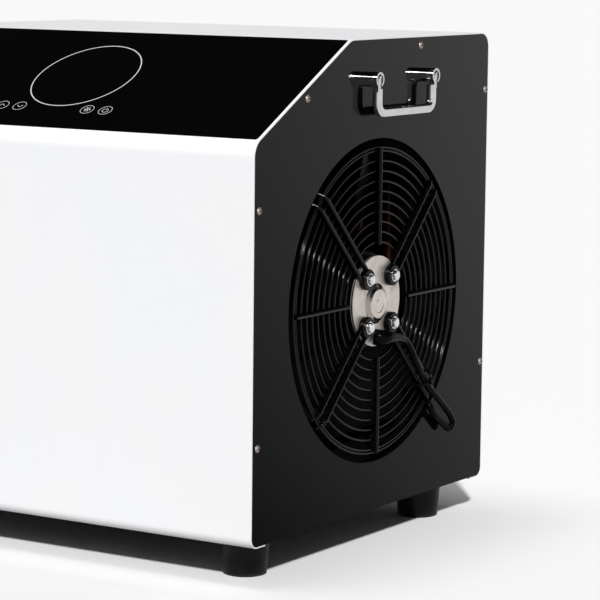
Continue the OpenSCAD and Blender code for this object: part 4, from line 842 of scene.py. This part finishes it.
# A little greyer where the white cover lights the floor: this comes in towards the cover, and
# goes out past its right end and behind its front, all in metres
place = add(floor_tree, "TexCoord").outputs["Object"]
spot = add(floor_tree, "SeparateXYZ", links={"Vector": place}).outputs
towards = add(floor_tree, "MapRange", ramp(-1.2, -0.3, 0.0, 1.0), {"Value": spot["Y"]})
beside = add(floor_tree, "MapRange", ramp(0.15, 0.45, 1.0, 0.0), {"Value": spot["X"]})
behind = add(floor_tree, "MapRange", ramp(-0.3, -0.24, 1.0, 0.0), {"Value": spot["Y"]})
links = {0: towards.outputs[0], 1: beside.outputs[0]}
ahead = add(floor_tree, "Math", links=links, operation="MULTIPLY")
links = {0: ahead.outputs[0], 1: behind.outputs[0]}
lit = add(floor_tree, "Math", links=links, operation="MULTIPLY")
values = {"A": hex_colour("#FAFAFA"), "B": hex_colour("#E1E1E1")}
pale = add(floor_tree, "Mix", values, {"Factor": lit.outputs[0]}, data_type="RGBA")
# The eye, shiny surfaces and clear ones see the pale floor; it throws back a grey floor's light
ray = add(floor_tree, "LightPath").outputs
links = {0: ray["Is Glossy Ray"], 1: ray["Is Transmission Ray"]}
mirrored = add(floor_tree, "Math", links=links, operation="MAXIMUM")
links = {0: mirrored.outputs[0], 1: ray["Is Camera Ray"]}
seen = add(floor_tree, "Math", links=links, operation="MAXIMUM")
links = {"Factor": seen.outputs[0], "B": pale.outputs["Result"]}
paint = add(floor_tree, "Mix", {"A": hex_colour("#AAAAAA")}, links, data_type="RGBA")
floor_paint = add(floor_tree, "BsdfDiffuse", links={"Color": paint.outputs["Result"]})
add(floor_tree, "OutputMaterial", links={"Surface": floor_paint.outputs[0]})
floor.data.materials.append(floor_material)

# Strengths of the world: its light on the object, and what the eye and shiny surfaces see of it
WORLD_LIGHT = 0.14
BACKDROP = 0.95
CEILING = 0.012
world = bpy.data.worlds.new("studio")
bpy.context.scene.world = world
world.use_nodes = True
world_tree = world.node_tree
world_tree.nodes.clear()
# Shiny surfaces see the pale backdrop round the horizon and a dark ceiling above it
way = add(world_tree, "TexCoord").outputs["Generated"]
height = add(world_tree, "SeparateXYZ", links={"Vector": way}).outputs["Z"]
room = add(world_tree, "MapRange", ramp(0.1, 0.38, BACKDROP, CEILING), {"Value": height})
world_ray = add(world_tree, "LightPath").outputs
links = {0: world_ray["Is Glossy Ray"], 1: world_ray["Is Transmission Ray"]}
glossy = add(world_tree, "Math", links=links, operation="MAXIMUM")
links = {"Value": world_ray["Is Camera Ray"]}
light = add(world_tree, "MapRange", ramp(0.0, 1.0, WORLD_LIGHT, BACKDROP), links)
links = {"Factor": glossy.outputs[0], "A": light.outputs[0], "B": room.outputs[0]}
level = add(world_tree, "Mix", links=links, data_type="FLOAT")
values = {"Color": hex_colour("#FFFFFF")}
backdrop = add(world_tree, "Background", values, {"Strength": level.outputs["Result"]})
add(world_tree, "OutputWorld", links={"Surface": backdrop.outputs[0]})


def sun(name, towards, strength, spread):
    """Even lamp that shines from the direction towards it, softer with more degrees of spread."""
    lamp = bpy.data.lights.new(name, "SUN")
    lamp.energy = strength
    lamp.angle = math.radians(spread)
    holder = bpy.data.objects.new(name, lamp)
    bpy.context.collection.objects.link(holder)
    holder.rotation_mode = "QUATERNION"
    holder.rotation_quaternion = Vector(towards).to_track_quat("Z", "Y")


sun("front_key", (0.5, -0.636, 0.588), 3.5, 4)
sun("top_light", (-0.17, -0.12, 0.968), 0.63, 20)

# The camera as solved from the photograph's perspective
CAMERA_PLACE = Vector((1.69028, -2.40606, 0.62465))
CAMERA_RIGHT = Vector((0.8438974, 0.5363968, 0.0107564))
CAMERA_UP = Vector((-0.0798163, 0.1056963, 0.9911900))
CAMERA_BACK = Vector((0.5305342, -0.8373212, 0.1320101))
camera_data = bpy.data.cameras.new("camera")
camera_data.lens = 165.952
camera_data.sensor_width = 36.0
camera_data.clip_start = 0.05
camera_data.clip_end = 200.0
camera = bpy.data.objects.new("camera", camera_data)
bpy.context.collection.objects.link(camera)
camera_axes = (CAMERA_RIGHT, CAMERA_UP, CAMERA_BACK, CAMERA_PLACE)
camera.matrix_world = Matrix([[axis[i] for axis in camera_axes] for i in range(3)] + [[0, 0, 0, 1]])
bpy.context.scene.camera = camera
bpy.context.scene.view_settings.view_transform = "Standard"
